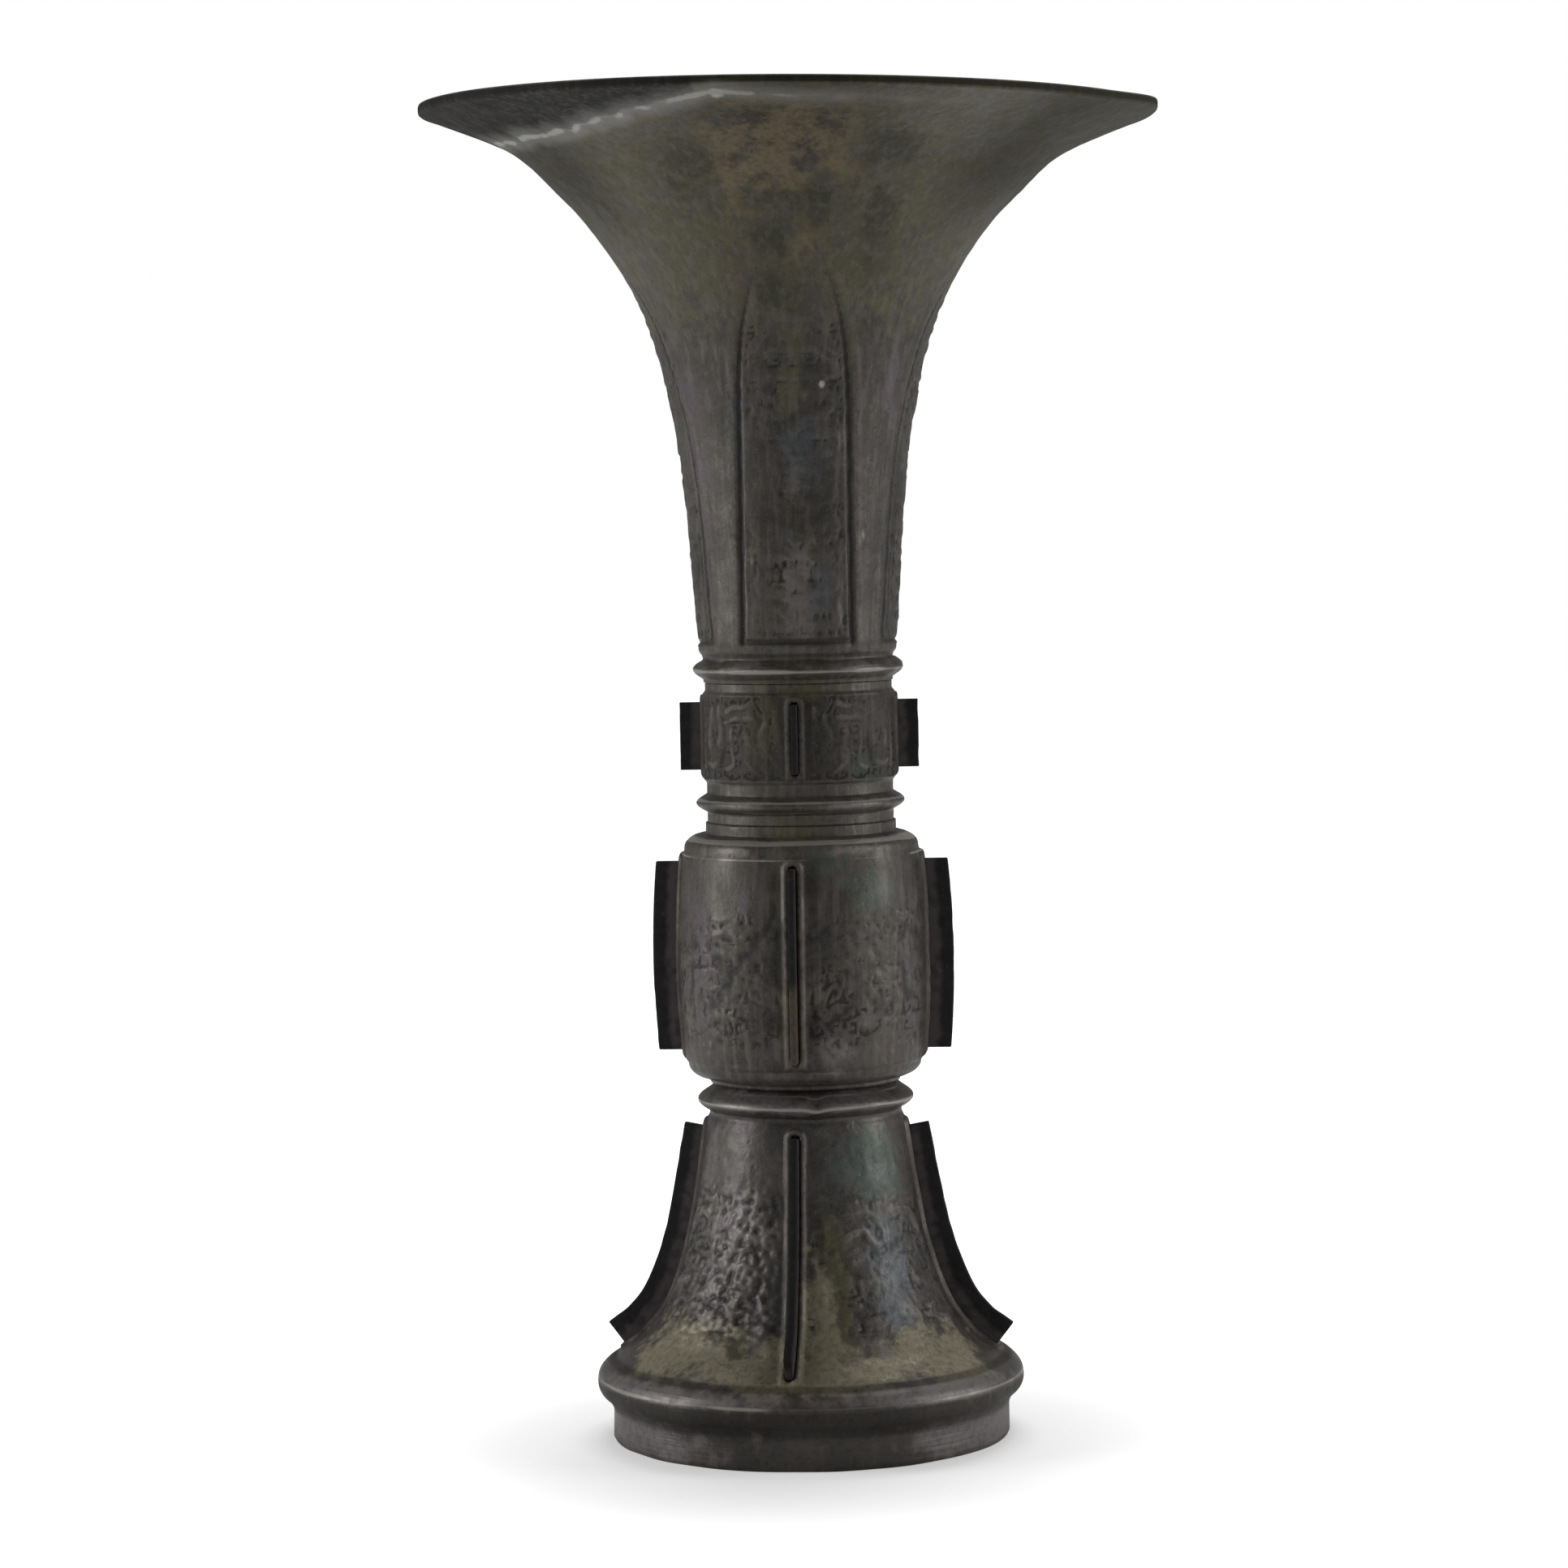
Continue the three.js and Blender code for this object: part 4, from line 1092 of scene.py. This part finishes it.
def make_flanges(material):
    heights = np.linspace(BAND_FLANGE["start"], BAND_FLANGE["end"], 30)
    face = pairs(BAND_RADIUS, heights + BAND_BASE)
    row_of_flanges("band", face - [SLOT_DEPTH, 0], face + [BAND_FLANGE_REACH, 0],
                   BAND_FLANGE["thickness"], BAND_TURN, material, 60)
    heights = np.linspace(KNOP_FLANGE["start"], KNOP_FLANGE["end"], 60)
    face = pairs(knop_radius(heights), heights + KNOP_BASE)
    row_of_flanges("knop", face - [SLOT_DEPTH, 0], face + [KNOP_FLANGE_REACH, 0],
                   KNOP_FLANGE["thickness"], KNOP_TURN, material, 70)
    along = lengths(foot_curve)
    face = foot_curve[(along > FOOT_FLANGE["start"]) & (along < FOOT_FLANGE["end"])]
    row_of_flanges("foot", square_off(face, -SLOT_DEPTH), square_off(face, *FOOT_FLANGE_REACH),
                   FOOT_FLANGE["thickness"], FOOT_TURN, material, 80)


# Materials

class Nodes:
    """A node tree to fill, where an input is a value or another node's output."""

    def __init__(self, owner):
        owner.use_nodes = True
        self.tree = owner.node_tree
        self.tree.nodes.clear()

    def add(self, kind, inputs=None, **settings):
        node = self.tree.nodes.new("ShaderNode" + kind)
        for name, value in settings.items():
            setattr(node, name, value)
        for name, value in (inputs or {}).items():
            if isinstance(value, bpy.types.NodeSocket):
                self.tree.links.new(value, node.inputs[name])
            else:
                node.inputs[name].default_value = value
        return node

    def where(self):
        return self.add("TexCoord").outputs["Object"]

    def attribute(self, name):
        return self.add("Attribute", attribute_name=name).outputs["Fac"]

    def noise(self, where, size, detail=3, roughness=0.55):
        return self.add("TexNoise", {
            "Vector": where, "Scale": 1 / (size * MM), "Detail": detail, "Roughness": roughness,
        }).outputs["Fac"]

    def stretched(self, where, scale):
        return self.add("Mapping", {"Vector": where, "Scale": scale}).outputs["Vector"]

    def spread(self, value, low, high, start=0.0, end=1.0):
        return self.add("MapRange", {
            "Value": value, "From Min": low, "From Max": high, "To Min": start, "To Max": end,
        }, interpolation_type="SMOOTHSTEP").outputs["Result"]

    def mix(self, share, first, second):
        return self.add("Mix", {0: share, 6: first, 7: second}, data_type="RGBA").outputs[2]

    def math(self, operation, first, second):
        return self.add("Math", {0: first, 1: second}, operation=operation).outputs[0]

    def times(self, first, second):
        return self.math("MULTIPLY", first, second)

    def plus(self, first, second, share):
        """The first and a share of the second."""
        return self.math("ADD", first, self.times(second, share))

    def bump(self, height, strength, distance):
        inputs = {"Height": height, "Strength": strength, "Distance": distance * MM}
        return self.add("Bump", inputs).outputs["Normal"]

    def finish(self, inputs):
        shader = self.add("BsdfPrincipled", inputs)
        self.add("OutputMaterial", {"Surface": shader.outputs["BSDF"]})


def colour(red, green, blue):
    """A colour as it looks on a screen, in 0 to 255, turned into Blender's linear values."""
    return tuple(
        value / 255 / 12.92 if value <= 10 else ((value / 255 + 0.055) / 1.055) ** 2.4
        for value in (red, green, blue)
    ) + (1,)


TINT_COLOURS = {
    "olive": colour(88, 85, 60),
    "moss": colour(57, 56, 42),
    "green": colour(72, 81, 74),
    "rust": colour(118, 104, 80),
    "red": colour(78, 64, 58),
    "mauve": colour(90, 81, 86),
    "blue": colour(72, 77, 80),
    "tan": colour(138, 131, 108),
    "frost_and_highlight": colour(112, 107, 106),
    "repair": colour(46, 47, 48),
    "pale": colour(200, 196, 186),
}
# How far noise breaks a tint's edge up, and what fine speckle leaves of it
TINT_BREAKUP = {"repair": 0.2, "pale": 0.3, "rust": 2.2, "tan": 2.0}
TINT_SPECKLE = {"repair": 0.9, "rust": 0.4}
# Painted shade: the dark colour that the shade attribute mixes in
PAINTED_SHADE_COLOUR = colour(30, 28, 25)
CRACK_COLOUR = colour(168, 168, 164)
# Painted highlight lines
HIGHLIGHT_LINE_COLOUR = colour(152, 148, 140)
DUST_COLOUR = colour(78, 70, 58)


def bronze(name, dark, light, recess, worn, tints, metallic, grain, rough, streaky):
    """Old bronze: mottled ground, dirt in the hollows, rubbed high places, patches of patina, painted shade and
    painted highlight lines.
    """
    material = bpy.data.materials.new(name)
    nodes = Nodes(material)
    mix, spread, times, plus = nodes.mix, nodes.spread, nodes.times, nodes.plus
    where = nodes.where()
    broad = nodes.noise(where, 26, 4)
    middle = nodes.noise(where, 5, 5, 0.62)
    fine = nodes.noise(where, 1.2, 4, 0.65)
    dust = nodes.noise(where, 0.5, 2, 0.6)
    pits = nodes.add("TexVoronoi", {"Vector": where, "Scale": 1 / (2.4 * MM), "Randomness": 1.0})
    relief = nodes.attribute("relief")
    smooth = nodes.attribute("smooth")
    shade = nodes.attribute("shade")

    base = mix(spread(broad, 0.35, 0.68), dark, light)
    base = mix(spread(middle, 0.45, 0.7, 0, 0.5), base, light)
    base = mix(spread(fine, 0.48, 0.36, 0, 0.3), base, recess)
    for tint in tints:
        breakup = TINT_BREAKUP.get(tint, 1.5)
        share = plus(nodes.attribute(tint), middle, breakup)
        broken = spread(share, 0.3 + breakup / 2, 0.75 + breakup / 2)
        speckle = spread(fine, 0.34, 0.58, TINT_SPECKLE.get(tint, 0.55), 0.95)
        base = mix(times(broken, speckle), base, TINT_COLOURS[tint])
    upright = nodes.stretched(where, (1.0, 1.0, 0.07))
    base = mix(spread(nodes.noise(upright, 1.6), 0.46, 0.66, 0, streaky), base, worn)
    # Painted shade, as much as the shade attribute holds
    base = mix(times(shade, 0.8), base, PAINTED_SHADE_COLOUR)
    # Dark in the hollows of the relief, and in the flange slots as painted shade
    base = mix(spread(plus(relief, fine, 0.5), 0.26, -0.35, 0, 0.85), base, recess)
    base = mix(spread(plus(relief, fine, 0.9), 0.65, 1.35, 0, 0.5), base, worn)
    base = mix(times(spread(dust, 0.6, 0.74, 0, 0.3), spread(smooth, 0, 1, 1, 0.3)), base, worn)
    # Painted highlight lines along crests and shoulders, from the line tint
    line = plus(nodes.attribute("line"), middle, -0.14)
    base = mix(spread(line, 0.74, 0.88, 0, 0.85), base, HIGHLIGHT_LINE_COLOUR)
    if "repair" in tints:
        away = plus(plus(nodes.attribute("crack"), middle, -0.2), fine, -0.12)
        filling = nodes.math("MAXIMUM", spread(away, 0.64, 0.8, 0, 0.9), spread(away, 0.2, 0.75, 0, 0.35))
        base = mix(filling, base, CRACK_COLOUR)

    rough_skin = plus(plus(middle, fine, 0.6), spread(pits.outputs["Distance"], 0.0, 0.28), 0.35)
    brushed = times(nodes.noise(nodes.stretched(where, (0.04, 0.04, 1.0)), 1.1), 1.2)
    height = nodes.add("Mix", {0: smooth, 2: rough_skin, 3: brushed}).outputs[0]
    dull = nodes.math("MAXIMUM", shade, nodes.attribute("repair"))
    nodes.finish({
        "Base Color": base,
        "Metallic": spread(dull, 0, 1, metallic, 0.05),
        "Roughness": plus(spread(middle, 0.3, 0.75, rough - 0.1, rough + 0.12), dull, 0.25),
        "Specular IOR Level": spread(dull, 0, 1, 0.5, 0.1),
        "Normal": nodes.bump(height, grain, 0.35),
    })
    return material


def black_bronze(name):
    """The flanges: near black at the rim, browner by the socket, with dust where it has settled."""
    material = bpy.data.materials.new(name)
    nodes = Nodes(material)
    where = nodes.where()
    middle = nodes.noise(where, 4, 4, 0.6)
    fine = nodes.noise(where, 0.9, 3, 0.6)
    outer = nodes.spread(nodes.plus(nodes.attribute("outer"), middle, 0.3), 0.62, 0.85)
    hollow = nodes.spread(nodes.attribute("relief"), 0.1, -0.5, 0, 0.5)
    dusty = nodes.times(nodes.attribute("dust"), nodes.spread(fine, 0.3, 0.6, 0.6, 1.0))
    base = nodes.mix(outer, colour(74, 67, 68), colour(27, 24, 25))
    base = nodes.mix(nodes.spread(fine, 0.56, 0.72, 0, 0.4), base, colour(66, 61, 61))
    base = nodes.mix(hollow, base, colour(16, 15, 15))
    base = nodes.mix(dusty, base, DUST_COLOUR)
    nodes.finish({
        "Base Color": base, "Metallic": 0.2, "Roughness": nodes.spread(middle, 0.3, 0.7, 0.45, 0.65),
        "Specular IOR Level": 0.32, "Normal": nodes.bump(nodes.plus(middle, fine, 0.4), 0.35, 0.3),
    })
    return material


def make_materials():
    body = bronze(
        "worn_relief_bronze", colour(58, 54, 49), colour(80, 75, 69), colour(30, 28, 26), colour(116, 109, 103),
        ["mauve", "red", "olive", "green", "blue", "tan", "rust", "moss", "frost_and_highlight", "repair", "pale"],
        metallic=0.4, grain=0.36, rough=0.46, streaky=0.28,
    )
    foot = bronze(
        "pitted_foot_bronze", colour(62, 58, 54), colour(84, 79, 74), colour(30, 28, 27), colour(124, 118, 113),
        ["mauve", "olive", "green", "blue", "tan", "moss", "frost_and_highlight"],
        metallic=0.4, grain=0.42, rough=0.44, streaky=0.08,
    )
    inner = bronze(
        "inner_bronze", colour(38, 36, 33), colour(52, 49, 45), colour(26, 25, 24), colour(66, 62, 56), [],
        metallic=0.3, grain=0.5, rough=0.6, streaky=0.0,
    )
    return body, foot, black_bronze("black_flange_bronze"), inner


# Studio

EYE_AZIMUTH = 4.4
EYE_DISTANCE = 953
EYE_HEIGHT = 196
LOOK_HEIGHT = 137.7
LOOK_LEFT = 3.4
EYE_ROLL = 1.07
FOCAL_LENGTH = 104.15
SENSOR_WIDTH = 36
FLOOR_SIZE = 8
FLOOR_COLOUR = (0.75, 0.75, 0.75, 1)
# How far from the vase the floor starts to look lit, and how strongly: the weaker glow near the vase is a
# painted shadow
FLOOR_NEAR = 0.045
FLOOR_FAR = 0.145
FLOOR_LIFT_IN_PAINTED_SHADOW = 0.37
FLOOR_LIFT_FAR = 0.95
# The floor also glows, at this share, in reflections on the vase: a painted reflection
FLOOR_GLOW_IN_REFLECTIONS = 0.1
AMBIENT = 0.23
LAMPS_AIM = 0.14


def beside_eye(azimuth, distance, height):
    """A place seen from the axis at an azimuth measured from the camera's."""
    angle = math.radians(EYE_AZIMUTH + azimuth)
    return Vector((distance * math.sin(angle), -distance * math.cos(angle), height))


def make_camera():
    data = bpy.data.cameras.new("studio_camera")
    data.lens = FOCAL_LENGTH
    data.sensor_width = SENSOR_WIDTH
    data.clip_end = 50
    camera = bpy.data.objects.new("studio_camera", data)
    bpy.context.scene.collection.objects.link(camera)
    eye = beside_eye(0, EYE_DISTANCE * MM, EYE_HEIGHT * MM)
    target = beside_eye(-90, LOOK_LEFT * MM, LOOK_HEIGHT * MM)
    aim = (target - eye).to_track_quat("-Z", "Y").to_matrix()
    roll = Matrix.Rotation(math.radians(-EYE_ROLL), 3, "Z")
    camera.matrix_world = Matrix.Translation(eye) @ (aim @ roll).to_4x4()
    bpy.context.scene.camera = camera


def make_floor():
    start_fresh()
    bpy.ops.mesh.primitive_plane_add(size=FLOOR_SIZE)
    floor = bpy.context.object
    floor.name = "studio_floor"
    material = bpy.data.materials.new("pale_floor")
    nodes = Nodes(material)
    path = nodes.add("LightPath")
    away = nodes.add("VectorMath", {0: nodes.where()}, operation="LENGTH").outputs["Value"]
    # Painted shadow: the floor glows less near the vase
    lift_with_painted_shadow = nodes.spread(away, FLOOR_NEAR, FLOOR_FAR, FLOOR_LIFT_IN_PAINTED_SHADOW, FLOOR_LIFT_FAR)
    matt = nodes.add("BsdfDiffuse", {"Color": FLOOR_COLOUR})
    # Painted reflection: glossy rays see the floor glow too
    shine = nodes.times(path.outputs["Is Glossy Ray"], FLOOR_GLOW_IN_REFLECTIONS)
    seen = nodes.math("MAXIMUM", path.outputs["Is Camera Ray"], shine)
    lift = nodes.add("Emission", {"Strength": nodes.times(seen, lift_with_painted_shadow)})
    both = nodes.add("AddShader", {0: matt.outputs[0], 1: lift.outputs[0]})
    nodes.add("OutputMaterial", {"Surface": both.outputs[0]})
    floor.data.materials.append(material)


def make_world():
    world = bpy.data.worlds.new("white_studio")
    bpy.context.scene.world = world
    nodes = Nodes(world)
    seen = nodes.add("LightPath").outputs["Is Camera Ray"]
    strength = nodes.math("ADD", nodes.times(seen, 1 - AMBIENT), AMBIENT)
    shine = nodes.add("Background", {"Color": (1, 1, 1, 1), "Strength": strength})
    nodes.add("OutputWorld", {"Surface": shine.outputs[0]})


def softbox(name, place, width, height, power):
    data = bpy.data.lights.new(name, "AREA")
    data.shape = "RECTANGLE"
    data.size = width
    data.size_y = height
    data.energy = power
    lamp = bpy.data.objects.new(name, data)
    lamp.location = place
    lamp.rotation_euler = (Vector((0, 0, LAMPS_AIM)) - place).to_track_quat("-Z", "Y").to_euler()
    bpy.context.scene.collection.objects.link(lamp)


make_camera()
body_bronze, foot_bronze, flange_bronze, inner_bronze = make_materials()
make_foot(foot_bronze)
make_knop(body_bronze)
make_band(body_bronze)
make_neck(body_bronze)
make_flanges(flange_bronze)
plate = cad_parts["floor_plate"]
plate.data.materials.clear()
plate.data.materials.append(inner_bronze)
make_floor()
make_world()
softbox("left_softbox", beside_eye(-84, 1.25, 0.45), 0.5, 0.9, 7.5)
softbox("right_softbox", beside_eye(84, 1.25, 0.45), 0.5, 0.9, 6.3)
softbox("top_softbox", beside_eye(170, 0.45, 1.35), 0.8, 0.8, 11)
bpy.context.scene.view_settings.view_transform = "Standard"
